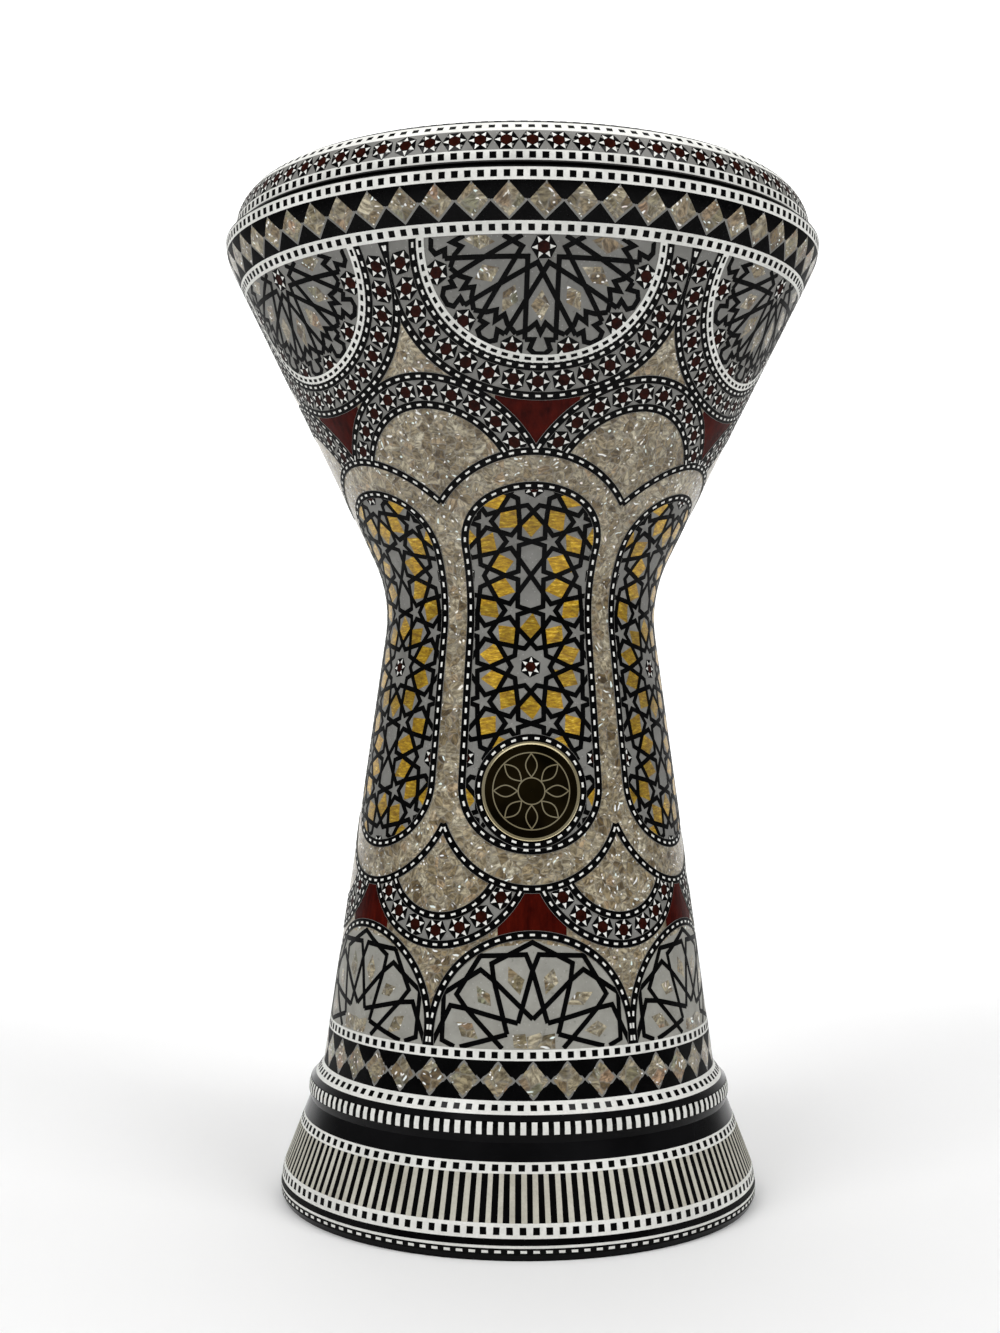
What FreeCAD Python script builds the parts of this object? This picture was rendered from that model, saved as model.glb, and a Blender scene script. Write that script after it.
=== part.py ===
"""Darbuka: a cast goblet drum covered with inlay, tuned by a ring and eight hidden bolts.

Millimetres, +Z up.  The origin is the centre of the foot's flat face, on the drum's axis.
The front, where the badge sits, faces -Y.
"""
import FreeCAD, Part
import math
import os
import Sketcher
from types import SimpleNamespace

os.makedirs("parts", exist_ok=True)
doc = FreeCAD.newDocument("darbuka")

# ---------------------------------------------------------------- driving dimensions
# Radii and heights of the finished outside, foot first.
SIZES = {
    "foot_edge_radius": 106.2,
    "foot_rim_radius": 107.4,
    "foot_rim_height": 2.6,
    "foot_dash_top": 5.3,
    "pinstripe_top": 6.4,
    "flare_turn_radius": 107.5,
    "flare_black_top": 9.0,
    "flare_start_radius": 106.3,
    "flare_start_height": 13.2,
    "flare_squares_low_top": 14.7,
    "flare_stripe_top": 32.4,
    "flare_top_radius": 97.2,
    "flare_top_height": 36.6,
    "groove_radius": 94.5,
    "groove_height": 43.6,
    "bead_low_radius": 95.3,
    "bead_low_height": 46.8,
    "bead_mid_radius": 95.1,
    "bead_mid_height": 49.6,
    "bead_high_radius": 94.3,
    "bead_high_height": 52.2,
    "flank_radius": 92.2,
    "flank_height": 54.3,
    "neck_radius": 88.6,
    "neck_height": 59.1,
    "foot_diamond_top": 74.9,
    "foot_squares_top": 79.3,
    "waist_corner_radius": 59.4,
    "waist_corner_height": 270.0,
    "waist_rounding": 62.0,
    "shoulder_radius": 135.0,
    "shoulder_top": 427.6,
    "shoulder_rounding": 21.0,
    # drops below the shoulder's top
    "shoulder_corner_drop": 5.6,
    "shoulder_squares_drop": 4.9,
    "upper_diamond_drop": 19.0,
    "collar_squares_drop": 23.6,
    # casting
    "inlay_thickness": 1.2,
    "glue_gap": 0.05,
    "wall": 4.0,
    "flange_rise": 1.8,
    "flange_thickness": 5.0,
    "shoulder_lip_inset": 3.2,
    "shoulder_lip_proud": 0.15,
    "shoulder_lip_drop": 1.4,
    "collar_inset": 24.4,
    "collar_wall": 4.0,
    "bearing_edge_rise": 21.4,
    "bearing_edge_chamfer": 1.3,
    # head
    "film_thickness": 0.3,
    "film_clearance": 0.05,
    "collar_film_clearance": 0.3,
    "hoop_rise": 11.4,
    "hoop_depth": 6.7,
    "hoop_width": 5.35,
    "hoop_ring_clearance": 0.4,
    # tension ring: its outside is one round arc; rises are over the shoulder's top
    "ring_centre_inset": 23.6,
    "ring_centre_rise": 5.0,
    "ring_round": 19.6,
    "ring_rise": 3.2,
    "ring_inlay_rise": 3.8,
    "ring_squares_low_rise": 7.9,
    "ring_star_rise": 16.6,
    "ring_squares_high_rise": 21.3,
    "ring_inlay_high_rise": 23.5,
    "ring_lip_overlap": 4.3,
    "lip_outer_drop": 0.125,
    "lip_inner_drop": 1.5,
    # tuning bolts, M5
    "bolt_inset": 13.0,
    "bolt_radius": 2.5,
    "thread_clearance": 0.06,
    "bolt_hole_clearance": 0.3,
    "bolt_tip_rise": 12.4,
    "tapped_spare": 2.5,
    "cut_spare": 1.0,
    "bolt_head_radius": 4.25,
    "bolt_head_height": 5.0,
    "socket_radius": 2.3,
    "socket_depth": 2.6,
    "neck_depth": 0.65,
    "seat_clearance": 0.05,
    "washer_rim": 0.65,
    "washer_thickness": 1.0,
    # badge and its ring, on the front
    "badge_height": 184.3,
    "badge_radius": 21.0,
    "badge_ring_radius": 23.7,
    "badge_proud": 0.6,
    # six-fold pattern: radii measured along the surface
    "medallion_ground_radius": 48.0,
    "medallion_white_radius": 51.6,
    "medallion_star_radius": 63.4,
    "medallion_outer_radius": 66.6,
    "arch_drop": 91.8,
    "arch_field_radius": 33.7,
    "arch_star_radius": 36.9,
    "arch_outer_radius": 49.0,
    "triangle_drop": 54.0,
    "scallop_height": 281.0,
    "scallop_radius": 50.2,
    "low_scallop_height": 184.7,
    "low_scallop_radius": 42.6,
    "panel_half_width": 28.0,
    "panel_low": 158.4,
    "panel_high": 312.8,
    "low_medallion_height": 81.8,
    "low_medallion_radius": 45.4,
    "low_arch_height": 154.4,
    "low_arch_field_radius": 21.2,
    "low_arch_star_radius": 24.4,
    "low_arch_outer_radius": 36.2,
    "low_triangle_low": 122.0,
    "strip_width": 2.8,
    # rhombic inlay pieces
    "diamond_width": 13.0,
    "diamond_margin": 0.4,
}
SECTORS = 6
BOLTS = 8
UPPER_DIAMONDS = 58
FOOT_DIAMONDS = 38
FULL_TURN = 360.0

sheet = doc.addObject("Spreadsheet::Sheet", "sizes")
for row, (alias, number) in enumerate(SIZES.items(), start=1):
    sheet.set(f"A{row}", alias)
    sheet.set(f"B{row}", str(number))
    sheet.setAlias(f"B{row}", alias)
doc.recompute()


class Size:
    """A size as a number and as the sheet expression that gives the same number."""

    def __init__(self, number, text):
        self.number = number
        self.text = text

    def join(self, other, sign, number):
        return Size(number, f"({self.text} {sign} {as_size(other).text})")

    def __add__(self, other):
        return self.join(other, "+", self.number + as_size(other).number)

    def __sub__(self, other):
        return self.join(other, "-", self.number - as_size(other).number)

    def __mul__(self, other):
        return self.join(other, "*", self.number * as_size(other).number)

    def __truediv__(self, other):
        return self.join(other, "/", self.number / as_size(other).number)


def as_size(value):
    return value if isinstance(value, Size) else Size(float(value), repr(float(value)))


def root(size):
    return Size(math.sqrt(size.number), f"sqrt({size.text})")


d = SimpleNamespace(**{alias: Size(float(sheet.get(alias)), f"sizes.{alias}") for alias in SIZES})

# ---------------------------------------------------------------- places tied to the shoulder
d.shoulder_corner_height = d.shoulder_top - d.shoulder_corner_drop
d.upper_diamond_top = d.shoulder_top - d.shoulder_squares_drop
d.upper_diamond_low = d.shoulder_top - d.upper_diamond_drop
d.collar_squares_low = d.shoulder_top - d.collar_squares_drop
d.flange_top = d.shoulder_top + d.flange_rise
d.bearing_edge_height = d.shoulder_top + d.bearing_edge_rise
d.hoop_low = d.shoulder_top + d.hoop_rise
d.hoop_high = d.hoop_low + d.hoop_depth
d.ring_centre_height = d.shoulder_top + d.ring_centre_rise
d.ring_low = d.shoulder_top + d.ring_rise
d.ring_inlay_low = d.shoulder_top + d.ring_inlay_rise
d.ring_squares_low_top = d.shoulder_top + d.ring_squares_low_rise
d.ring_star_top = d.shoulder_top + d.ring_star_rise
d.ring_squares_high_top = d.shoulder_top + d.ring_squares_high_rise
d.ring_inlay_high = d.shoulder_top + d.ring_inlay_high_rise
d.bolt_tip_height = d.shoulder_top + d.bolt_tip_rise
d.shoulder_lip_radius = d.shoulder_radius - d.shoulder_lip_inset
d.collar_outer_radius = d.shoulder_radius - d.collar_inset
d.ring_centre_radius = d.shoulder_radius - d.ring_centre_inset
d.bolt_circle = d.shoulder_radius - d.bolt_inset
d.arch_height = d.collar_squares_low - d.arch_drop
d.triangle_top = d.collar_squares_low - d.triangle_drop
d.medallion_black_radius = d.medallion_white_radius + d.strip_width

# ---------------------------------------------------------------- sizes that follow from them
seat_depth = d.inlay_thickness + d.glue_gap
skin_depth = seat_depth + d.wall
flange_low = d.flange_top - d.flange_thickness
cone_slope = (d.shoulder_radius - d.waist_corner_radius) / (d.shoulder_corner_height - d.waist_corner_height)
neck_slope = (d.neck_radius - d.waist_corner_radius) / (d.waist_corner_height - d.neck_height)
collar_inner_radius = d.collar_outer_radius - d.collar_wall
film_low = d.bearing_edge_height + d.film_clearance
film_high = film_low + d.film_thickness
collar_film_radius = d.collar_outer_radius + d.collar_film_clearance
hoop_inner_radius = collar_film_radius + d.film_thickness + d.film_clearance
hoop_outer_radius = hoop_inner_radius + d.hoop_width
ring_skirt_radius = hoop_outer_radius + d.hoop_ring_clearance
ring_lip_radius = hoop_outer_radius - d.ring_lip_overlap
ring_crown_height = d.ring_centre_height + d.ring_round
tapped_top = d.bolt_tip_height + d.tapped_spare
washer_radius = d.bolt_head_radius + d.washer_rim
washer_top = flange_low - d.seat_clearance
washer_low = washer_top - d.washer_thickness
bolt_head_top = washer_low - d.seat_clearance


def cone_radius(height):
    """Finished radius of the straight upper cone at a height."""
    return d.waist_corner_radius + (height - d.waist_corner_height) * cone_slope


def ring_radius(height, depth=0.0):
    """Radius of the tension ring's round outside at a height, a depth below the finish."""
    arc = d.ring_round - depth
    rise = height - d.ring_centre_height
    return d.ring_centre_radius + root(arc * arc - rise * rise)


# ---------------------------------------------------------------- helpers
def bind(thing, **sizes):
    """Bind properties to the sheet; a double underscore stands for a dot."""
    for name, size in sizes.items():
        thing.setExpression(name.replace("__", "."), as_size(size).text)


def origin_part(body, role):
    return next(feature for feature in body.Origin.OriginFeatures if feature.Role == role)


def arc_through(start, end, radius):
    """Arc of a radius from start to end, with its centre on the left of the way it runs."""
    chord = end - start
    half = chord.Length / 2
    left = FreeCAD.Vector(-chord.y, chord.x, 0).normalize()
    centre = (start + end) / 2 + left * math.sqrt(max(radius ** 2 - half ** 2, 0.0))
    first = math.atan2(start.y - centre.y, start.x - centre.x)
    last = math.atan2(end.y - centre.y, end.x - centre.x)
    circle = Part.Circle(centre, FreeCAD.Vector(0, 0, 1), radius)
    return Part.ArcOfCircle(circle, first, last)


def turned(label, outline):
    """Body turned about Z from points (radius, height).

    The outline runs anticlockwise.  A third entry makes the edge that leaves the point an arc of
    that radius, and a negative flag there means that the arc's centre is on the right.
    """
    body = doc.addObject("PartDesign::Body", label)
    body.Label = label
    sketch = body.newObject("Sketcher::SketchObject", label + "_outline")
    sketch.AttachmentSupport = (origin_part(body, "XZ_Plane"), [""])
    sketch.MapMode = "FlatFace"
    points = [FreeCAD.Vector(as_size(p[0]).number, as_size(p[1]).number, 0) for p in outline]
    edges, starts, ends = [], [], []
    for index, item in enumerate(outline):
        here, after = points[index], points[(index + 1) % len(points)]
        if len(item) == 2:
            edges.append(Part.LineSegment(here, after))
            starts.append(1)
            ends.append(2)
        elif item[3] > 0:
            edges.append(arc_through(here, after, item[2].number))
            starts.append(1)
            ends.append(2)
        else:
            edges.append(arc_through(after, here, item[2].number))
            starts.append(2)
            ends.append(1)
    sketch.addGeometry(edges, False)
    for index, item in enumerate(outline):
        following = (index + 1) % len(points)
        sketch.addConstraint(Sketcher.Constraint("Coincident", index, ends[index],
                                                 following, starts[following]))
        for kind, value in (("DistanceX", item[0]), ("DistanceY", item[1])):
            size = as_size(value)
            if size.number == 0:
                axis = -2 if kind == "DistanceX" else -1
                sketch.addConstraint(Sketcher.Constraint("PointOnObject", index, starts[index], axis))
                continue
            number = sketch.addConstraint(
                Sketcher.Constraint(kind, -1, 1, index, starts[index], size.number))
            sketch.setExpression(f"Constraints[{number}]", size.text)
        if len(item) > 2:
            number = sketch.addConstraint(Sketcher.Constraint("Radius", index, item[2].number))
            sketch.setExpression(f"Constraints[{number}]", item[2].text)
    turn = body.newObject("PartDesign::Revolution", label + "_turn")
    turn.Profile = sketch
    turn.ReferenceAxis = (sketch, ["V_Axis"])
    turn.Angle = FULL_TURN
    sketch.Visibility = False
    return body, turn


def rounded(body, feature, height, radius):
    """Round every circular edge of a turned body at a height."""
    doc.recompute()
    names = [f"Edge{number}" for number, edge in enumerate(feature.Shape.Edges, start=1)
             if isinstance(edge.Curve, Part.Circle)
             and abs(edge.Curve.Center.z - height.number) < 1e-4 and len(edge.Vertexes) == 1]
    fillet = body.newObject("PartDesign::Fillet", feature.Name + "_round")
    fillet.Base = (feature, names)
    bind(fillet, Radius=radius)
    body.Tip = fillet
    return fillet


def holes(body, label, radius, low, depth):
    """A ring of holes on the bolt circle, cut into a body."""
    hole = body.newObject("PartDesign::SubtractiveCylinder", label)
    bind(hole, Radius=radius, Height=depth, Placement__Base__x=d.bolt_circle, Placement__Base__z=low)
    doc.recompute()
    pattern = body.newObject("PartDesign::PolarPattern", label + "_pattern")
    pattern.Originals = [hole]
    pattern.Axis = (origin_part(body, "Z_Axis"), [""])
    pattern.Angle = FULL_TURN
    pattern.Occurrences = BOLTS
    body.Tip = pattern


def cylinder(label, radius, low, depth, across=0.0, angle=0.0):
    """Upright cylinder at a distance across from the axis, turned about it by an angle."""
    thing = doc.addObject("Part::Cylinder", label)
    bind(thing, Radius=radius, Height=depth, Placement__Base__z=low)
    if as_size(across).number:
        bind(thing, Placement__Base__x=as_size(across) * math.cos(math.radians(angle)),
             Placement__Base__y=as_size(across) * math.sin(math.radians(angle)))
    return thing


def band(label, layer, low, high):
    """The part of a turned inlay layer between two heights."""
    slab = cylinder(label + "_slab", d.shoulder_radius + d.wall, low, high - low)
    common = doc.addObject("Part::Common", label)
    common.Label = label
    common.Base, common.Tool = layer, slab
    return common


def shaped(label, solids):
    """Node made of ready solids."""
    feature = doc.addObject("Part::Feature", label)
    feature.Label = label
    feature.Shape = Part.makeCompound(solids) if len(solids) > 1 else solids[0]
    return feature


def around(solid, count, first=0.0):
    """Copies of a solid, evenly spaced about the axis."""
    copies = []
    for number in range(count):
        copy = solid.copy()
        copy.rotate(FreeCAD.Vector(), FreeCAD.Vector(0, 0, 1), first + number * FULL_TURN / count)
        copies.append(copy)
    return copies


nodes = []


def keep(thing):
    nodes.append(thing)
    return thing


# ---------------------------------------------------------------- shell casting
def make_casting():
    """One-piece cast shell: foot, bead, waist, bowl, flange and bearing collar."""
    inner_neck = d.neck_radius - skin_depth
    outline = [
        (d.foot_edge_radius - d.wall, 0),
        (d.foot_edge_radius, 0),
        (d.foot_rim_radius, d.foot_rim_height),
        (d.foot_rim_radius - seat_depth, d.foot_rim_height),
        (d.flare_turn_radius - seat_depth, d.pinstripe_top),
        (d.flare_start_radius - seat_depth, d.flare_start_height),
        (d.flare_top_radius - seat_depth, d.flare_top_height),
        (d.flare_top_radius, d.flare_top_height),
        (d.groove_radius, d.groove_height),
        (d.bead_low_radius, d.bead_low_height),
        (d.bead_low_radius - seat_depth, d.bead_low_height),
        (d.bead_mid_radius - seat_depth, d.bead_mid_height),
        (d.bead_high_radius - seat_depth, d.bead_high_height),
        (d.bead_high_radius, d.bead_high_height),
        (d.flank_radius, d.flank_height),
        (d.flank_radius - seat_depth, d.flank_height),
        (d.neck_radius - seat_depth, d.neck_height),
        (d.waist_corner_radius - seat_depth, d.waist_corner_height),
        (d.shoulder_radius - seat_depth, d.shoulder_corner_height),
        (d.shoulder_radius - seat_depth, d.shoulder_top),
        (d.shoulder_radius + d.shoulder_lip_proud, d.shoulder_top),
        (d.shoulder_radius + d.shoulder_lip_proud, d.flange_top - d.shoulder_lip_drop),
        (d.shoulder_lip_radius, d.flange_top),
        (d.collar_outer_radius, d.flange_top),
        (d.collar_outer_radius, d.bearing_edge_height - d.bearing_edge_chamfer,
         d.bearing_edge_chamfer, 1),
        (d.collar_outer_radius - d.bearing_edge_chamfer, d.bearing_edge_height),
        (collar_inner_radius + d.bearing_edge_chamfer, d.bearing_edge_height),
        (collar_inner_radius, d.bearing_edge_height - d.bearing_edge_chamfer),
        (collar_inner_radius, flange_low),
        (cone_radius(flange_low) - skin_depth, flange_low),
        (d.waist_corner_radius - skin_depth, d.waist_corner_height),
        (inner_neck, d.neck_height),
        (d.bead_mid_radius - skin_depth, d.bead_low_height),
        (d.flare_top_radius - skin_depth, d.flare_top_height),
        (d.flare_start_radius - skin_depth, d.flare_start_height),
    ]
    body, turn = turned("cast_shell", outline)
    waist = rounded(body, turn, d.waist_corner_height, d.waist_rounding)
    rounded(body, waist, d.shoulder_corner_height, d.shoulder_rounding)
    holes(body, "bolt_hole", d.bolt_radius + d.bolt_hole_clearance,
          flange_low - d.wall, d.flange_thickness + d.wall * 2)
    return keep(body)


# ---------------------------------------------------------------- inlay layers
def make_body_layer():
    """Inlay thickness over the neck, the waist and the bowl, before it is divided."""
    profile = [
        (d.neck_radius, d.neck_height),
        (d.waist_corner_radius, d.waist_corner_height),
        (d.shoulder_radius, d.shoulder_corner_height),
        (d.shoulder_radius, d.shoulder_top),
    ]
    inside = [(radius - d.inlay_thickness, height) for radius, height in reversed(profile)]
    body, turn = turned("body_layer", profile + inside)
    waist = rounded(body, turn, d.waist_corner_height, d.waist_rounding)
    rounded(body, waist, d.shoulder_corner_height, d.shoulder_rounding)
    return body


def turned_inlay(label, profile):
    """Inlay ring of full thickness behind a finished profile, which runs upwards."""
    inside = [(radius - d.inlay_thickness, height) for radius, height in reversed(profile)]
    return turned(label, profile + inside)[0]


def make_foot_bands():
    """Inlay rings of the flared foot, the bead and the flank above it."""
    flare = turned_inlay("flare_layer", [
        (d.foot_rim_radius, d.foot_rim_height),
        (d.flare_turn_radius, d.pinstripe_top),
        (d.flare_start_radius, d.flare_start_height),
        (d.flare_top_radius, d.flare_top_height),
    ])
    keep(band("foot_dash_band", flare, d.foot_rim_height, d.foot_dash_top))
    keep(band("foot_pinstripe", flare, d.foot_dash_top, d.pinstripe_top))
    keep(band("flare_black_band", flare, d.pinstripe_top, d.flare_black_top))
    keep(band("flare_squares_lower", flare, d.flare_black_top, d.flare_squares_low_top))
    keep(band("flare_stripe_band", flare, d.flare_squares_low_top, d.flare_stripe_top))
    keep(band("flare_squares_upper", flare, d.flare_stripe_top, d.flare_top_height))
    keep(turned_inlay("bead_stripe_band", [
        (d.bead_low_radius, d.bead_low_height),
        (d.bead_mid_radius, d.bead_mid_height),
        (d.bead_high_radius, d.bead_high_height),
    ]))
    keep(turned_inlay("foot_squares_lower", [
        (d.flank_radius, d.flank_height),
        (d.neck_radius, d.neck_height),
    ]))


def diamond_band(label, layer, low, high, count):
    """A band divided into upright rhombic pieces and the ground around them."""
    whole = band(label + "_band", layer, low, high)
    doc.recompute()
    middle = (low + high).number / 2
    rise = (high - low).number / 2 - d.diamond_margin.number
    half = d.diamond_width.number / 2
    reach = d.shoulder_radius.number + d.wall.number
    corners = [(0, -rise), (half, 0), (0, rise), (-half, 0)]
    wire = Part.makePolygon([FreeCAD.Vector(0, x, middle + z) for x, z in corners + corners[:1]])
    prism = Part.Face(wire).extrude(FreeCAD.Vector(reach, 0, 0))
    piece = whole.Shape.common(prism).Solids[0]
    pieces = around(piece, count, -FULL_TURN / 4)
    keep(shaped(label + "s", pieces))
    keep(shaped(label + "_ground", whole.Shape.cut(Part.makeCompound(around(prism, count,
                                                   -FULL_TURN / 4))).Solids))


# ---------------------------------------------------------------- six-fold pattern
def spot(radius, angle, height, slope):
    """Cylinder that leaves the axis square to a cone of this slope, at an angle and a height."""
    reach = d.shoulder_radius.number
    tilt = math.atan(slope)
    local_radius = surface_radius(height)
    out = FreeCAD.Vector(math.cos(tilt), 0, -math.sin(tilt))
    base = FreeCAD.Vector(local_radius, 0, height) - out * (local_radius - d.cut_spare.number)
    solid = Part.makeCylinder(radius, reach, base, out)
    solid.rotate(FreeCAD.Vector(), FreeCAD.Vector(0, 0, 1), angle)
    return solid


def surface_radius(height):
    """Finished radius of the two straight cones at a height, without the rounding."""
    if height > d.waist_corner_height.number:
        return cone_radius(as_size(height)).number
    drop = d.waist_corner_height.number - height
    return d.waist_corner_radius.number + drop * neck_slope.number


def make_pattern(layer):
    """Divide the layer between the foot bands and the collar bands into the six-fold pattern."""
    doc.recompute()
    half_sector = FULL_TURN / SECTORS / 2
    reach = 2 * d.shoulder_radius.number
    up, down = cone_slope.number, -neck_slope.number
    collar, foot = d.collar_squares_low.number, d.foot_squares_top.number
    strip = d.strip_width.number

    def slab(low, high):
        solid = Part.makeCylinder(reach, high - low, FreeCAD.Vector(0, 0, low),
                                  FreeCAD.Vector(0, 0, 1), 2 * half_sector)
        solid.rotate(FreeCAD.Vector(), FreeCAD.Vector(0, 0, 1), -half_sector)
        return solid

    def put(label, shape, tool=None):
        shape = shape if tool is None else shape.common(tool)
        groups = [solid for piece in shape.Solids for solid in around(piece, SECTORS, -90.0)]
        keep(shaped(label, groups))

    def put_arches(prefix, field, height, slope, radii):
        """The field inside both half arches of a sector, their star bands and their strips."""
        pairs = [spot(size.number, half_sector, height.number, slope).fuse(
                 spot(size.number, -half_sector, height.number, slope)) for size in radii]
        put(prefix + "_arch_fields", field, pairs[0])
        put(prefix + "_arch_star_bands", field.common(pairs[2]).cut(pairs[1]))
        strips = [field.common(large).cut(small) for small, large in (pairs[:2], pairs[2:])]
        put(prefix + "_arch_strips", Part.makeCompound(strips))
        return field.cut(pairs[-1])

    sector = layer.Shape.common(slab(foot, collar))
    middle_high, middle_low = d.scallop_height.number, d.low_scallop_height.number

    # bowl
    bowl = sector.common(slab(middle_high, collar))
    scallop = spot(d.scallop_radius.number, 0, middle_high, up)
    scallop_hole = spot(d.scallop_radius.number - strip, 0, middle_high, up)
    put("upper_scallop_strips", bowl.common(scallop).cut(scallop_hole))
    above = bowl.cut(scallop)
    rims = [spot(size.number, 0, collar, up) for size in (
        d.medallion_ground_radius, d.medallion_white_radius, d.medallion_black_radius,
        d.medallion_star_radius, d.medallion_outer_radius)]
    put("upper_medallion_grounds", above, rims[0])
    names = ("upper_white_strips", "upper_black_strips", "upper_star_arcs", "upper_outer_strips")
    for label, small, large in zip(names, rims, rims[1:]):
        put(label, above.common(large).cut(small))
    below = above.cut(rims[-1])
    between = put_arches("upper", below, d.arch_height, up, (
        d.arch_field_radius, d.arch_star_radius, d.arch_outer_radius - d.strip_width,
        d.arch_outer_radius))
    put("upper_red_triangles", between, slab(middle_high, d.triangle_top.number))
    put("upper_spandrels", between, slab(d.triangle_top.number, collar))

    # waist
    def stadium(half_width, low, high):
        out = FreeCAD.Vector(reach, 0, 0)
        ends = [Part.makeCylinder(half_width, reach, FreeCAD.Vector(0, 0, height),
                                  FreeCAD.Vector(1, 0, 0))
                for height in (low + half_width, high - half_width)]
        wire = Part.makePolygon([FreeCAD.Vector(0, y, z) for y, z in (
            (-half_width, low + half_width), (half_width, low + half_width),
            (half_width, high - half_width), (-half_width, high - half_width),
            (-half_width, low + half_width))])
        return Part.Face(wire).extrude(out).multiFuse(ends).removeSplitter()

    panel = stadium(d.panel_half_width.number, d.panel_low.number, d.panel_high.number)
    panel_hole = stadium(d.panel_half_width.number - strip, d.panel_low.number + strip,
                         d.panel_high.number - strip)
    low_scallop = spot(d.low_scallop_radius.number, 0, middle_low, down)
    low_hole = spot(d.low_scallop_radius.number - strip, 0, middle_low, down)
    neck = sector.common(slab(foot, middle_low))
    put("lower_scallop_strips", neck.common(low_scallop).cut(low_hole))
    field = sector.common(slab(middle_low, middle_high)).multiFuse(
        [bowl.common(scallop_hole), neck.common(low_hole)])
    put("waist_pearl_field", field.cut(panel))
    put("waist_panel_borders", field.common(panel).cut(panel_hole))

    badge = spot(d.badge_radius.number, 0, d.badge_height.number, down)
    badge_ring = spot(d.badge_ring_radius.number, 0, d.badge_height.number, down)
    inside_panel = field.common(panel_hole)
    plain = [copy for piece in inside_panel.Solids for copy in around(piece, SECTORS, -90.0)[1:]]
    front = around(inside_panel.cut(badge_ring), 1, -90.0)[0]
    keep(shaped("waist_panels", front.Solids + plain))
    ring = around(inside_panel.common(badge_ring).cut(badge), 1, -90.0)[0]
    keep(shaped("badge_ring", ring.Solids))
    thick = sector.common(slab(d.panel_low.number, middle_high))
    proud = thick.copy()
    proud.translate(FreeCAD.Vector(d.badge_proud.number, 0, 0))
    disc = thick.fuse(proud).common(badge).removeSplitter()
    keep(shaped("badge_disc", around(disc, 1, -90.0)[0].Solids))

    # neck
    under = neck.cut(low_scallop)
    centre = d.low_medallion_height.number
    medallion = spot(d.low_medallion_radius.number, 0, centre, down)
    medallion_hole = spot(d.low_medallion_radius.number - strip, 0, centre, down)
    put("lower_medallion_grounds", under, medallion_hole)
    put("lower_medallion_strips", under.common(medallion).cut(medallion_hole))
    over = under.cut(medallion)
    remaining = put_arches("lower", over, d.low_arch_height, down, (
        d.low_arch_field_radius, d.low_arch_star_radius, d.low_arch_outer_radius - d.strip_width,
        d.low_arch_outer_radius))
    put("lower_red_triangles", remaining, slab(d.low_triangle_low.number, middle_low))
    put("lower_spandrels", remaining, slab(foot, d.low_triangle_low.number))


def make_body_inlay():
    layer = make_body_layer()
    keep(band("shoulder_squares_band", layer, d.upper_diamond_top, d.shoulder_top))
    diamond_band("upper_diamond", layer, d.upper_diamond_low, d.upper_diamond_top,
                 UPPER_DIAMONDS)
    keep(band("collar_squares_band", layer, d.collar_squares_low, d.upper_diamond_low))
    diamond_band("foot_diamond", layer, d.neck_height, d.foot_diamond_top, FOOT_DIAMONDS)
    keep(band("foot_squares_upper", layer, d.foot_diamond_top, d.foot_squares_top))
    make_pattern(layer)


# ---------------------------------------------------------------- tension ring and head
def make_ring():
    """Tension ring: round outside with a seat for its inlay, and a lip that holds the hoop down."""
    seat = d.ring_round - seat_depth
    lip_outer = d.ring_centre_radius + root(
        d.ring_round * d.ring_round
        - (d.ring_inlay_high - d.ring_centre_height) * (d.ring_inlay_high - d.ring_centre_height))
    body, _turn = turned("ring_casting", [
        (ring_skirt_radius, d.ring_low),
        (ring_radius(d.ring_low), d.ring_low, d.ring_round, 1),
        (ring_radius(d.ring_inlay_low), d.ring_inlay_low),
        (ring_radius(d.ring_inlay_low, seat_depth), d.ring_inlay_low, seat, 1),
        (ring_radius(d.ring_inlay_high - d.inlay_thickness, seat_depth),
         d.ring_inlay_high - d.inlay_thickness),
        (lip_outer, d.ring_inlay_high, d.ring_round, 1),
        (ring_radius(ring_crown_height - d.lip_outer_drop), ring_crown_height - d.lip_outer_drop),
        (ring_lip_radius, ring_crown_height - d.lip_inner_drop),
        (ring_lip_radius, d.hoop_high + d.film_clearance),
        (ring_skirt_radius, d.hoop_high + d.film_clearance),
    ])
    hole_low = d.ring_low - d.cut_spare
    holes(body, "tapped_hole", d.bolt_radius + d.thread_clearance, hole_low, tapped_top - hole_low)
    keep(body)


def make_ring_inlay():
    back = d.ring_round - d.inlay_thickness
    layer, _turn = turned("ring_layer", [
        (ring_radius(d.ring_inlay_low, d.inlay_thickness), d.ring_inlay_low),
        (ring_radius(d.ring_inlay_low), d.ring_inlay_low, d.ring_round, 1),
        (ring_radius(d.ring_inlay_high), d.ring_inlay_high),
        (ring_radius(d.ring_inlay_high - d.inlay_thickness + d.glue_gap, d.inlay_thickness),
         d.ring_inlay_high - d.inlay_thickness + d.glue_gap, back, -1),
    ])
    keep(band("ring_squares_lower", layer, d.ring_inlay_low, d.ring_squares_low_top))
    keep(band("ring_star_band", layer, d.ring_squares_low_top, d.ring_star_top))
    keep(band("ring_squares_upper", layer, d.ring_star_top, d.ring_squares_high_top))
    keep(band("ring_dash_band", layer, d.ring_squares_high_top, d.ring_inlay_high))


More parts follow.
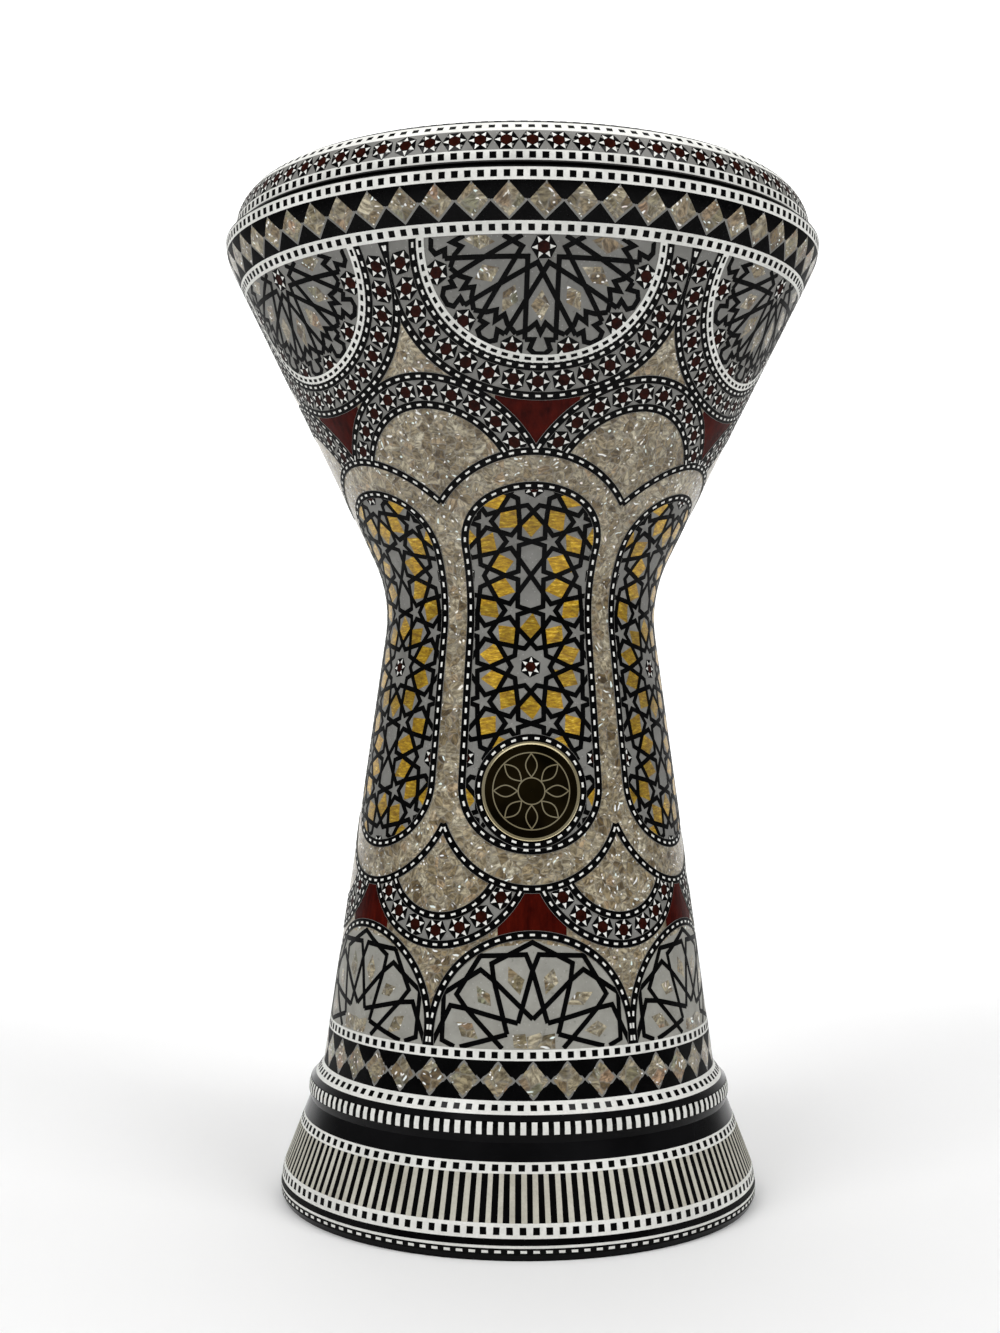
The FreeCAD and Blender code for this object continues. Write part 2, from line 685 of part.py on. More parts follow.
def make_head():
    """Film head: the flat playing skin, its moulded collar and the hoop that holds the collar."""
    flat_radius = d.collar_outer_radius - d.bearing_edge_chamfer
    skin = cylinder("drum_head", flat_radius, film_low, d.film_thickness)
    skin.Label = "drum_head"
    keep(skin)
    bend_low = d.bearing_edge_height - d.bearing_edge_chamfer
    inner_bend = d.bearing_edge_chamfer + d.collar_film_clearance
    keep(turned("head_collar", [
        (flat_radius + d.film_clearance, film_low, inner_bend, -1),
        (collar_film_radius, bend_low),
        (collar_film_radius, d.hoop_low),
        (collar_film_radius + d.film_thickness, d.hoop_low),
        (collar_film_radius + d.film_thickness, bend_low, inner_bend + d.film_thickness, 1),
        (flat_radius + d.film_clearance, film_high),
    ])[0])
    keep(turned("head_hoop", [
        (hoop_inner_radius, d.hoop_low),
        (hoop_outer_radius, d.hoop_low),
        (hoop_outer_radius, d.hoop_high),
        (hoop_inner_radius, d.hoop_high),
    ])[0])


# ---------------------------------------------------------------- tuning bolts
def make_bolt(number):
    """Socket-head screw, its head under the flange and its thread up in the tension ring."""
    angle = (number - 1) * FULL_TURN / BOLTS
    label = f"tuning_bolt_{number}"
    head = cylinder(label + "_head", d.bolt_head_radius, bolt_head_top - d.bolt_head_height,
                    d.bolt_head_height, d.bolt_circle, angle)
    shank_low = bolt_head_top - d.neck_depth
    shank = cylinder(label + "_shank", d.bolt_radius, shank_low, d.bolt_tip_height - shank_low,
                     d.bolt_circle, angle)
    socket = doc.addObject("Part::Prism", label + "_socket")
    socket.Polygon = 6
    bind(socket, Circumradius=d.socket_radius, Height=d.socket_depth + d.cut_spare,
         Placement__Base__z=bolt_head_top - d.bolt_head_height - d.cut_spare,
         Placement__Base__x=d.bolt_circle * math.cos(math.radians(angle)),
         Placement__Base__y=d.bolt_circle * math.sin(math.radians(angle)))
    screw = doc.addObject("Part::Fuse", label + "_screw")
    screw.Base, screw.Tool = head, shank
    bolt = doc.addObject("Part::Cut", label)
    bolt.Label = label
    bolt.Base, bolt.Tool = screw, socket
    keep(bolt)


def make_washers():
    washers = []
    for number in range(BOLTS):
        angle = number * FULL_TURN / BOLTS
        disc = cylinder(f"washer_{number}_disc", washer_radius, washer_low, d.washer_thickness,
                        d.bolt_circle, angle)
        bore = cylinder(f"washer_{number}_bore", d.bolt_radius + d.bolt_hole_clearance,
                        washer_low - d.wall, d.washer_thickness + d.wall * 2, d.bolt_circle, angle)
        washer = doc.addObject("Part::Cut", f"washer_{number}")
        washer.Base, washer.Tool = disc, bore
        washers.append(washer)
    group = doc.addObject("Part::Compound", "bolt_washers")
    group.Label = "bolt_washers"
    group.Links = washers
    keep(group)


make_casting()
make_foot_bands()
make_body_inlay()
make_ring()
make_ring_inlay()
make_head()
make_washers()
for bolt_number in range(1, BOLTS + 1):
    make_bolt(bolt_number)

doc.recompute()
for thing in doc.Objects:
    if {"Invalid", "Error"} & set(thing.State):
        raise RuntimeError(f"{thing.Name} failed: {thing.State}")
for node in nodes:
    if node.Shape.isNull() or not node.Shape.isValid() or not node.Shape.Solids:
        raise RuntimeError(f"{node.Label} has no valid solid")
for node in nodes:
    node.Shape.exportStep(f"parts/{node.Label}.step")
    print(f"{node.Label}: {len(node.Shape.Solids)} solids, {node.Shape.Volume / 1000:.1f} cm3")
print(f"{len(nodes)} nodes")
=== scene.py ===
"""Darbuka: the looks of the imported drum.

Lengths are in millimetres until a mesh is made.  The front, with the badge, faces -Y.  Patterns
are drawn on flat working frames (x around the drum, y up its surface) that Place lays on it.
"""

import bpy
import math
import random
from mathutils import Euler, Matrix, Vector


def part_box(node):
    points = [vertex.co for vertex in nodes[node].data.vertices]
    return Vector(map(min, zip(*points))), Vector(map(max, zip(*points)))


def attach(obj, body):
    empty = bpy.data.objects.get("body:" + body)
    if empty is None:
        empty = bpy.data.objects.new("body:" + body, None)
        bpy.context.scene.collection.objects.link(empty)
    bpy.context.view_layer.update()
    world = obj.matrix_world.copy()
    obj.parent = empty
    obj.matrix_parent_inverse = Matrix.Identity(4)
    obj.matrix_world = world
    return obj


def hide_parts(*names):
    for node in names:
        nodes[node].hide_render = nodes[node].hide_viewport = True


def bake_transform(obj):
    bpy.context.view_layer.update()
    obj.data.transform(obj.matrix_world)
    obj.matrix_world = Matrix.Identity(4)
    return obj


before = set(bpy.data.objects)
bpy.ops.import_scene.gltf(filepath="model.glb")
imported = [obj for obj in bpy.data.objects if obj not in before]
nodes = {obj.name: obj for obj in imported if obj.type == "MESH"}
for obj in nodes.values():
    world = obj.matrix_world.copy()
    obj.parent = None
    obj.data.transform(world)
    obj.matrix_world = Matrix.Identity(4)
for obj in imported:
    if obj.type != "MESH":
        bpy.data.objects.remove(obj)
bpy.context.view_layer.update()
rng = random.Random(12)

MM = 0.001
TURN = 2 * math.pi
SECTORS = 6
HALF_SECTOR = TURN / SECTORS / 2
FRONT = 0.0


# ---------------------------------------------------------------- sizes
def low(node):
    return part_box(node)[0].z / MM


def high(node):
    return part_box(node)[1].z / MM


def reach(node):
    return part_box(node)[1].x / MM


COLLAR = low("collar_squares_band")
FOOT = high("foot_squares_upper")
WAIST_CORNER = (59.4, 270.0, 62.0)
SHOULDER_CORNER = (reach("shoulder_squares_band"), 422.0, 21.0)
RING_CENTRE = (111.4, 432.6)
RING_ROUND = 19.6

# heights over (+) or under (-) the finished surface
PEARL, RED, GROUND, CHIP, STRAP, STAR = -0.30, -0.25, -0.20, -0.14, -0.10, -0.09
STAR_TOP, EDGING, STRIP, TOP, PROUD = -0.05, -0.05, -0.02, 0.01, 0.05
DEEP = -0.9
SHALLOW = -0.5

STRAP_WIDTH = 2.05
STRIP_WIDTH = 3.35
EDGING_WIDTH = 3.6
DASH = {"pitch": 4.95, "length": 2.1, "width": 0.92}
SQUARE = 2.6
SKEW = 0.09
STAVES = 138
STAVE_HALF, STAVE_SPREAD, STAVE_TAPER = 1.15, 0.12, 0.92
RING_STARS = 80
SEAM_WIDTH, SEAM_GAP_ACROSS, SEAM_GAP_UP = 0.85, 0.35, 0.3
STAR_RADIUS = 5.2
STAR_PITCH = 10.3
STEP = 2.4
CHIP_STEP = 2.6


# ---------------------------------------------------------------- points of (x, y)
def between(here, after, share):
    """Point a share of the way from one point to another."""
    return here[0] + (after[0] - here[0]) * share, here[1] + (after[1] - here[1]) * share


def sides_of(outline):
    """Each point of a closed outline with the one after it."""
    return zip(outline, outline[1:] + outline[:1])


def level_row(half, y, columns):
    """Points from -half to half at one height."""
    return [(half * (2 * column / columns - 1), y) for column in range(columns + 1)]


# ---------------------------------------------------------------- turned surfaces
def rounded(corners):
    """Meridian points through corners (radius, height) or (radius, height, rounding)."""
    points = [Vector(corners[0][:2])]
    for before, corner, after in zip(corners, corners[1:], corners[2:]):
        here = Vector(corner[:2])
        if len(corner) == 2:
            points.append(here)
            continue
        came = (here - Vector(before[:2])).normalized()
        goes = (Vector(after[:2]) - here).normalized()
        bend = came.angle_signed(goes) * -1
        side = math.copysign(1, bend)
        start = here - came * (corner[2] * math.tan(abs(bend) / 2))
        centre = start + Vector((-came.y, came.x)) * (side * corner[2])
        count = max(4, int(corner[2] * abs(bend) / 1.0))
        for number in range(count + 1):
            turned = Matrix.Rotation(bend * number / count, 2)
            points.append(centre + turned @ (start - centre))
    points.append(Vector(corners[-1][:2]))
    return points


class Surface:
    """A surface turned about the drum's axis, known by the length along its meridian."""

    def __init__(self, meridian):
        self.points = [Vector(point) for point in meridian]
        self.lengths = [0.0]
        for here, after in zip(self.points, self.points[1:]):
            self.lengths.append(self.lengths[-1] + (after - here).length)

    def locate(self, length):
        """Point (radius, height) and outward normal at a length along the meridian."""
        index = 0
        while index < len(self.points) - 2 and self.lengths[index + 1] < length:
            index += 1
        here, after = self.points[index], self.points[index + 1]
        along = (after - here) / (self.lengths[index + 1] - self.lengths[index])
        return here + along * (length - self.lengths[index]), Vector((along.y, -along.x))

    def at_height(self, height):
        for index, (here, after) in enumerate(zip(self.points, self.points[1:])):
            if height <= after.y or index == len(self.points) - 2:
                share = (height - here.y) / (after.y - here.y)
                return self.lengths[index] + share * (after - here).length

    def radius(self, length):
        return self.locate(length)[0].x


class Place:
    """Working frame on a surface: x around it and y up it, both in millimetres."""

    def __init__(self, surface, height, angle=0.0, limit=math.pi):
        self.surface = surface
        self.start = surface.at_height(height)
        self.angle = angle
        self.limit = limit

    def polar(self, x, y):
        """Length along the meridian and angle of a point."""
        length = self.start + y
        turned = x / self.surface.radius(length)
        return length, self.angle + max(-self.limit, min(self.limit, turned))

    def put(self, x, y, rise):
        length, angle = self.polar(x, y)
        point, normal = self.surface.locate(length)
        radius = point.x + normal.x * rise
        return (radius * math.sin(angle) * MM, -radius * math.cos(angle) * MM,
                (point.y + normal.y * rise) * MM)

    def seen_from(self, other, x, y):
        """This frame's point (x, y) in another frame of the same surface."""
        length, angle = self.polar(x, y)
        return (angle - other.angle) * self.surface.radius(length), length - other.start


body = Surface(rounded([(88.6, low("foot_diamonds") - 0.4), WAIST_CORNER, SHOULDER_CORNER,
                        (SHOULDER_CORNER[0], high("shoulder_squares_band"))]))
flare = Surface([(107.4, low("foot_dash_band")), (107.5, high("foot_pinstripe")), (106.3, 13.2),
                 (97.2, high("flare_squares_upper"))])
bead = Surface([(95.3, low("bead_stripe_band")), (95.1, 49.6), (94.3, high("bead_stripe_band"))])
flank = Surface([(92.2, low("foot_squares_lower")), (88.6, high("foot_squares_lower"))])


def ring_meridian(start, end, count=40):
    """Points up the round outside of the tension ring."""
    heights = [start + (end - start) * number / count for number in range(count + 1)]
    return [(RING_CENTRE[0] + math.sqrt(RING_ROUND ** 2 - (height - RING_CENTRE[1]) ** 2), height)
            for height in heights]


ring = Surface(ring_meridian(low("ring_squares_lower"), high("ring_dash_band")))


# ---------------------------------------------------------------- pieces
pieces = {}


class Piece:
    """Closed solids that make one named piece."""

    def __init__(self, name, finish, body_name="shell"):
        self.name, self.finish, self.body_name = name, finish, body_name
        self.points, self.faces = [], []
        pieces[name] = self

    def add(self, points, faces):
        first = len(self.points)
        self.points.extend(points)
        self.faces.extend([tuple(first + index for index in face) for face in faces])

    def plate(self, place, rows, top, bottom=DEEP, loop=False):
        """Closed plate over rows of (x, y): each runs left to right and the lowest comes first."""
        count, columns = len(rows), len(rows[0])
        points = [place.put(x, y, rise) for rise in (top, bottom) for row in rows for x, y in row]
        below = count * columns
        faces = []
        last = columns if loop else columns - 1
        for row in range(count - 1):
            for column in range(last):
                after = (column + 1) % columns
                quad = (row * columns + column, row * columns + after,
                        (row + 1) * columns + after, (row + 1) * columns + column)
                faces.append(quad)
                faces.append(tuple(below + index for index in reversed(quad)))
        rim = [(column, (column + 1) % columns) for column in range(last)]
        high_row = (count - 1) * columns
        rim += [(high_row + after, high_row + before) for before, after in list(rim)]
        if not loop:
            rim += [(row * columns + columns - 1, (row + 1) * columns + columns - 1)
                    for row in range(count - 1)]
            rim += [((row + 1) * columns, row * columns) for row in range(count - 1)]
        faces.extend((below + here, below + after, after, here) for here, after in rim)
        self.add(points, faces)

    def chip(self, place, outline, top, bottom=SHALLOW):
        """Small flat-sided chip over an outline of (x, y)."""
        if len(outline) < 3:
            return
        area = sum(here[0] * after[1] - after[0] * here[1] for here, after in sides_of(outline))
        if abs(area) < 0.1:
            return
        if area < 0:
            outline = outline[::-1]
        rim = []
        for here, after in sides_of(outline):
            parts = max(1, round(math.dist(here, after) / CHIP_STEP))
            rim += [between(here, after, part / parts) for part in range(parts)]
        count = len(rim)
        middle = (sum(x for x, _ in rim) / count, sum(y for _, y in rim) / count)
        rings = max(1, round(max(math.dist(middle, point) for point in rim) / CHIP_STEP))
        points = [place.put(x, y, bottom) for x, y in rim]
        for number in range(rings):
            points += [place.put(*between(point, middle, number / rings), top) for point in rim]
        points.append(place.put(*middle, top))
        faces = [tuple(range(count - 1, -1, -1))]
        for number in range(rings):
            for here in range(count):
                after = (here + 1) % count
                faces.append((number * count + here, number * count + after,
                              (number + 1) * count + after, (number + 1) * count + here))
        faces += [(rings * count + here, rings * count + (here + 1) % count, (rings + 1) * count)
                  for here in range(count)]
        self.add(points, faces)

    def strip(self, place, path, width, top, bottom=SHALLOW, loop=False):
        """Strip of a width along a path, with mitred corners."""
        left, right = [], []
        count = len(path)
        for index, (x, y) in enumerate(path):
            before = path[index - 1] if index or loop else None
            after = path[(index + 1) % count] if index < count - 1 or loop else None
            sides = []
            for here, there in ((before, (x, y)), ((x, y), after)):
                if here and there:
                    run = Vector(there) - Vector(here)
                    if run.length > 1e-6:
                        run.normalize()
                        sides.append(Vector((-run.y, run.x)))
            side = sum(sides, Vector((0, 0))).normalized()
            half = width / 2 / max(0.35, side.dot(sides[0]))
            left.append((x + side.x * half, y + side.y * half))
            right.append((x - side.x * half, y - side.y * half))
        self.plate(place, [right, left], top, bottom, loop)


def turned_solid(profile, columns, spot):
    """Points and faces of a closed profile (radius, height) turned about an axis."""
    count = len(profile)
    points = [spot(radius, height, TURN * column / columns)
              for column in range(columns) for radius, height in profile]
    faces = []
    for column in range(columns):
        after = (column + 1) % columns
        for index in range(count):
            following = (index + 1) % count
            faces.append((column * count + index, column * count + following,
                          after * count + following, after * count + index))
    return points, faces


def circle(radius, first, last, centre=(0.0, 0.0), step=STEP):
    """Path along a circle, from one angle to another in degrees."""
    count = max(2, int(abs(math.radians(last - first)) * radius / step) + 1)
    angles = [math.radians(first + (last - first) * number / count) for number in range(count + 1)]
    return [(centre[0] + radius * math.cos(angle), centre[1] + radius * math.sin(angle))
            for angle in angles]


def spoke(radius, degrees, centre=(0.0, 0.0)):
    angle = math.radians(degrees)
    return centre[0] + radius * math.cos(angle), centre[1] + radius * math.sin(angle)


def path_length(path):
    return sum(math.dist(here, after) for here, after in zip(path, path[1:]))


def cut_out(path, start, end):
    """The part of a path between two lengths along it."""
    part, run = [], 0.0
    for here, after in zip(path, path[1:]):
        size = math.dist(here, after)
        for mark in (start, end):
            if run <= mark < run + size:
                part.append(between(here, after, (mark - run) / size))
        if start < run + size < end:
            part.append(after)
        run += size
    return part


def dashes(piece, place, path, pitch, length, width, top=TOP):
    """Dashes evenly along a path."""
    whole = path_length(path)
    count = max(1, round(whole / pitch))
    for number in range(count):
        middle = (number + 0.5) * whole / count
        part = cut_out(path, middle - length / 2, middle + length / 2)
        if len(part) > 1:
            piece.strip(place, part, width, top)


def crossing(inner, outer, inside):
    """Where the line from an inside point to an outside point leaves the region."""
    for _ in range(18):
        middle = between(inner, outer, 0.5)
        if inside(*middle):
            inner = middle
        else:
            outer = middle
    return inner


def clipped(outline, inside):
    """The part of a closed outline inside a region."""
    result = []
    for here, after in sides_of(outline):
        if inside(*here):
            result.append(here)
        if inside(*here) != inside(*after):
            pair = (here, after) if inside(*here) else (after, here)
            result.append(crossing(*pair, inside))
    return result


def clipped_paths(path, inside, step=1.5):
    """The parts of an open path inside a region."""
    fine = [path[0]]
    for here, after in zip(path, path[1:]):
        count = max(1, int(math.dist(here, after) / step))
        fine += [between(here, after, number / count) for number in range(1, count + 1)]
    parts, part = [], []
    for here, after in zip(fine, fine[1:]):
        if inside(*here):
            part = part or [here]
            if inside(*after):
                part.append(after)
            else:
                part.append(crossing(here, after, inside))
                parts.append(part)
                part = []
        elif inside(*after):
            part = [crossing(after, here, inside), after]
    if len(part) > 1:
        parts.append(part)
    return [part for part in parts if path_length(part) > 0.4]


def anywhere(_x, _y):
    return True


def strap(piece, place, path, inside=anywhere):
    """A black strap line, cut off at the edge of its field."""
    for part in clipped_paths(path, inside):
        piece.strip(place, part, STRAP_WIDTH, STRAP)


class Star:
    """Six-pointed star tiles: black hexagon, white points and a dark red hexagon."""

    def __init__(self, prefix, body_name="shell"):
        self.black = Piece(prefix + "_star_hexagons", "black", body_name)
        self.white = Piece(prefix + "_star_points", "bone", body_name)
        self.red = Piece(prefix + "_star_centres", "dark_red", body_name)

    def put(self, place, x, y, turn, inside=anywhere, radius=STAR_RADIUS, lift=0.0):
        turn += rng.uniform(-6, 6)
        centre = (x, y)

        def chip(piece, outline, top):
            piece.chip(place, clipped(outline, inside), top + lift)

        chip(self.black, [spoke(radius, turn + 60 * k, centre) for k in range(6)], STAR)
        for k in range(6):
            aim = turn + 60 * k
            chip(self.white, [spoke(radius * share, aim + aside, centre) for share, aside in
                              ((0.93, 0), (0.51, 20), (0.51, -20))], STAR_TOP)
        chip(self.red, [spoke(radius * 0.49, turn + 30 + 60 * k, centre) for k in range(6)],
             STAR_TOP)


def star_row(stars, place, path, count=None):
    """Star tiles along a path, each turned its own way."""
    whole = path_length(path)
    count = count or round(whole / STAR_PITCH)
    for number in range(count):
        middle = (number + 0.5) * whole / count
        here, after = cut_out(path, middle - 0.5, middle + 0.5)[:2]
        heading = math.degrees(math.atan2(after[1] - here[1], after[0] - here[0]))
        stars.put(place, *between(here, after, 0.5), heading + rng.choice((0, 30)))


class Strips:
    """Black strips with white dashes and fine grey edges."""

    def __init__(self, prefix):
        self.edge = Piece(prefix + "_strip_edges", "grey")
        self.black = Piece(prefix + "_strips", "black")
        self.dash = Piece(prefix + "_strip_dashes", "bone")

    def put(self, place, path, loop=False, lift=0.0):
        self.edge.strip(place, path, EDGING_WIDTH, EDGING + lift, loop=loop)
        self.black.strip(place, path, STRIP_WIDTH, STRIP + lift, loop=loop)
        around = path + path[:1] if loop else path
        dashes(self.dash, place, around, **DASH, top=TOP + lift)


# ---------------------------------------------------------------- plain bands of squares
def squares(name, surface, node, count, size=SQUARE, tall=None, shade="black", body_name="shell"):
    """Small rectangles evenly around a band; tall is their height when it isn't their width."""
    piece = Piece(name, shade, body_name)
    middle = (low(node) + high(node)) / 2
    half, tall = size / 2, (tall or size) / 2
    for number in range(count):
        place = Place(surface, middle, FRONT + TURN * number / count)
        skew = [rng.uniform(-SKEW, SKEW) for _ in range(4)]
        piece.chip(place, [(-half + skew[0], -tall), (half + skew[1], -tall),
                           (half + skew[2], tall), (-half + skew[3], tall)], PROUD)


def diamond_frames(name, node, count):
    """Grey seams around the rhombic pearl pieces."""
    piece = Piece(name, "grey")
    bottom, top = low(node + "s"), high(node + "s")
    middle = (bottom + top) / 2
    for number in range(count):
        place = Place(body, middle, TURN * number / count)
        rise = body.at_height(top) - place.start - SEAM_GAP_UP
        half = TURN * body.radius(place.start) / count / 2 - SEAM_GAP_ACROSS
        piece.strip(place, [(half, 0), (0, rise), (-half, 0), (0, -rise)], SEAM_WIDTH, PROUD,
                    loop=True)


squares("shoulder_squares", body, "shoulder_squares_band", 166)
squares("collar_squares", body, "collar_squares_band", 155)
squares("foot_upper_squares", body, "foot_squares_upper", 103)
squares("foot_lower_squares", flank, "foot_squares_lower", 107)
squares("flare_upper_squares", flare, "flare_squares_upper", 115)
squares("flare_lower_squares", flare, "flare_squares_lower", 126, tall=2.9)
squares("bead_stripes", bead, "bead_stripe_band", 132, 2.3, 5.0, "bone")
squares("foot_dashes", flare, "foot_dash_band", 131, 2.6, 1.05, "bone")
squares("ring_lower_squares", ring, "ring_squares_lower", 160, body_name="tension_ring")
squares("ring_upper_squares", ring, "ring_squares_upper", 152, 2.5, 2.3, body_name="tension_ring")
squares("ring_dashes", ring, "ring_dash_band", 146, 2.4, 0.62, "bone", "tension_ring")
diamond_frames("upper_diamond_seams", "upper_diamond", 58)
diamond_frames("foot_diamond_seams", "foot_diamond", 38)


def flare_stripes():
    """Pale staves up the flare; they lean and differ in width a little."""
    piece = Piece("flare_stripes", "ivory")
    bottom, top = low("flare_stripe_band"), high("flare_stripe_band")
    for number in range(STAVES):
        place = Place(flare, bottom, TURN * number / STAVES)
        tall = flare.at_height(top) - place.start
        left, right, lean = (rng.uniform(-STAVE_SPREAD, STAVE_SPREAD) for _ in range(3))
        left += STAVE_HALF
        right += STAVE_HALF
        piece.chip(place, [(-left, 0.0), (right, 0.0), (right * STAVE_TAPER + lean, tall),
                           (-left * STAVE_TAPER + lean, tall)], PROUD)


def ring_stars():
    """One row of star tiles around the tension ring."""
    stars = Star("ring", "tension_ring")
    middle = (low("ring_star_band") + high("ring_star_band")) / 2
    for number in range(RING_STARS):
        place = Place(ring, middle, TURN * (number + 0.5) / RING_STARS)
        stars.put(place, 0, 0, rng.choice((0, 0, 30)), radius=5.0, lift=0.11)


flare_stripes()
ring_stars()


# ---------------------------------------------------------------- six-fold pattern
def zone(prefix, **finishes):
    """Named pieces of one zone, by the rest of their names."""
    return {name: Piece(prefix + name, finish) for name, finish in finishes.items()}


upper = zone("upper_", medallion_grounds="grey", medallion_straps="black", medallion_pearls="pearl",
             arch_grounds="grey", white_strips="bone", white_strip_dashes="black",
             red_triangles="mahogany")
lower = zone("lower_", medallion_grounds="cream", medallion_straps="black",
             medallion_pearls="pearl", arch_grounds="grey", red_triangles="mahogany")
waist = zone("waist_", panel_grounds="grey", panel_straps="black", gold_chips="gold")
upper_stars, lower_stars, waist_stars = Star("upper"), Star("lower"), Star("waist")
upper_strips, lower_strips, waist_strips = Strips("upper"), Strips("lower"), Strips("waist")

SCALLOP = {"height": 281.0, "radius": 48.8}
LOW_SCALLOP = {"height": 184.7, "radius": 41.2}
ARCH = {"height": 312.2, "inner": 35.3, "middle": 41.3, "outer": 47.4}
LOW_ARCH = {"height": 158.8, "inner": 27.2, "middle": 33.1, "outer": 39.0}
MEDALLION = {"ground": 48.4, "white": 49.8, "black": 53.0, "stars": 59.0, "outer": 65.1}
LOW_MEDALLION = {"height": 81.8, "outer": 44.0}
ROSETTE_RAYS = 12
RAY = 360.0 / ROSETTE_RAYS
PETAL_HALF, PETAL_END = 6.2, 39.3
PETAL_CHIP = {"wide": 7.4, "tall": 12.5}
PETAL_CHIP_RADIUS, BARB_RADIUS, ROSETTE_STAR_RADIUS = 25.5, 38.3, 44.3
WHITE_STRIP_WIDTH = 3.35
WHITE_STRIP_DASH = {"pitch": 4.8, "length": 2.7, "width": 1.3}


def pearl_field():
    """Crushed pearl all round between the foot bands and the collar bands."""
    piece = Piece("pearl_field", "crushed_pearl")
    place = Place(body, FOOT)
    whole = body.at_height(COLLAR) - place.start
    count, columns = round(whole / STEP), 288
    rows = []
    for number in range(count + 1):
        y = whole * number / count
        around = TURN * body.radius(place.start + y)
        rows.append([(around * column / columns, y) for column in range(columns)])
    place.limit = TURN
    piece.plate(place, rows, PEARL, loop=True)


def arch_ends(place, radius, scallops, side):
    """Angles in degrees at which a circle of an arch meets the scallops, or its neighbours.

    side is 1 for an arch that opens down and -1 for one that opens up.
    """
    def free(angle):
        x, y = spoke(radius, angle)
        if abs(x) > HALF_SECTOR * body.radius(place.start + y):
            return False
        return all(math.hypot(*place.seen_from(other, x, y)) > edge for other, edge in scallops)

    step = 0.5
    angle = 90.0 * side
    while free(angle) and abs(angle) < 300:
        angle += step
    right = 180.0 * side - angle
    return right, angle


def annulus(piece, place, inner, outer, ends, top):
    """Ring plate between two radii, its ends following the ends found for each radius."""
    count = max(2, round((outer - inner) / STEP))
    radii = [outer + (inner - outer) * number / count for number in range(count + 1)]
    spans = [ends(radius) for radius in radii]
    columns = max(int(math.radians(abs(last - first)) * radius / STEP)
                  for radius, (first, last) in zip(radii, spans))
    rows = []
    for radius, (first, last) in zip(radii, spans):
        rows.append([spoke(radius, first + (last - first) * number / columns)
                     for number in range(columns + 1)])
    if spans[0][1] < spans[0][0]:
        rows = rows[::-1]
    piece.plate(place, rows, top)


def arch(group, stars, strips, angle, sizes, scallop, side):
    """An arch: grey annulus with a row of stars, between two dashed strips."""
    place = Place(body, sizes["height"], angle)
    scallops = [(Place(body, scallop["height"], angle + turned), scallop["radius"])
                for turned in (-HALF_SECTOR, HALF_SECTOR)]

    def ends(radius):
        return arch_ends(place, radius, scallops, side)

    annulus(group["arch_grounds"], place, sizes["inner"], sizes["outer"], ends, GROUND)
    for radius in (sizes["inner"], sizes["outer"]):
        strips.put(place, circle(radius, *ends(radius)))
    star_row(stars, place, circle(sizes["middle"], *ends(sizes["middle"])))


def scallop_strip(strips, angle, sizes, side):
    """Dashed strip along a scallop, from one sector edge to the other."""
    place = Place(body, sizes["height"], angle)
    reach_angle = 90.0 * side
    while True:
        x, y = spoke(sizes["radius"], reach_angle)
        if abs(x) > HALF_SECTOR * body.radius(place.start + y) or y * side < -20:
            break
        reach_angle += 0.5
    strips.put(place, circle(sizes["radius"], 180.0 * side - reach_angle, reach_angle))


def red_triangle(piece, angle, sizes, scallop, base, columns=25):
    """Mahogany between a medallion's rim, the two arches beside it and the scallop.

    base is (frame, radius, side, half width) of the medallion.
    """
    place, radius, side, half = base
    edges = [(Place(body, sizes["height"], angle + turned), sizes["outer"])
             for turned in (-HALF_SECTOR, HALF_SECTOR)]
    edges.append((Place(body, scallop["height"], angle), scallop["radius"]))
    rim, points = [], []
    for column in range(columns + 1):
        x = half * (2 * column / columns - 1)
        y = side * math.sqrt(radius ** 2 - x ** 2)
        rim.append((x, y - side * 0.8))
        tip = y
        while all(math.hypot(*place.seen_from(edge, x, tip)) > size for edge, size in edges):
            tip += side * 0.25
        points.append((x, tip + side * 0.8))
    rows = [[between(*pair, share) for pair in zip(rim, points)] for share in (0.0, 0.5, 1.0)]
    piece.plate(place, rows if side > 0 else rows[::-1], RED)


def half_disc(piece, place, radius, side, top):
    """Half a disc from the frame's x axis, on the side given."""
    count = round(radius / STEP)
    rows = []
    for number in range(count + 1):
        y = radius * (number / count) * 0.999 * side
        half = math.sqrt(radius ** 2 - y ** 2)
        rows.append(level_row(half, y, 40))
    piece.plate(place, rows if side > 0 else rows[::-1], top)


def pearl_chip(piece, place, centre, heading, wide, tall, top, inside=anywhere, irregular=0.16):
    """Irregular rhombic chip, its long way along a heading in degrees."""
    outline = []
    for number, size in enumerate((tall, wide, tall, wide)):
        along = size / 2 * (1 + rng.uniform(-irregular, irregular))
        outline.append(spoke(along, heading + 90 * number + rng.uniform(-9, 9), centre))
    piece.chip(place, clipped(outline, inside), top)


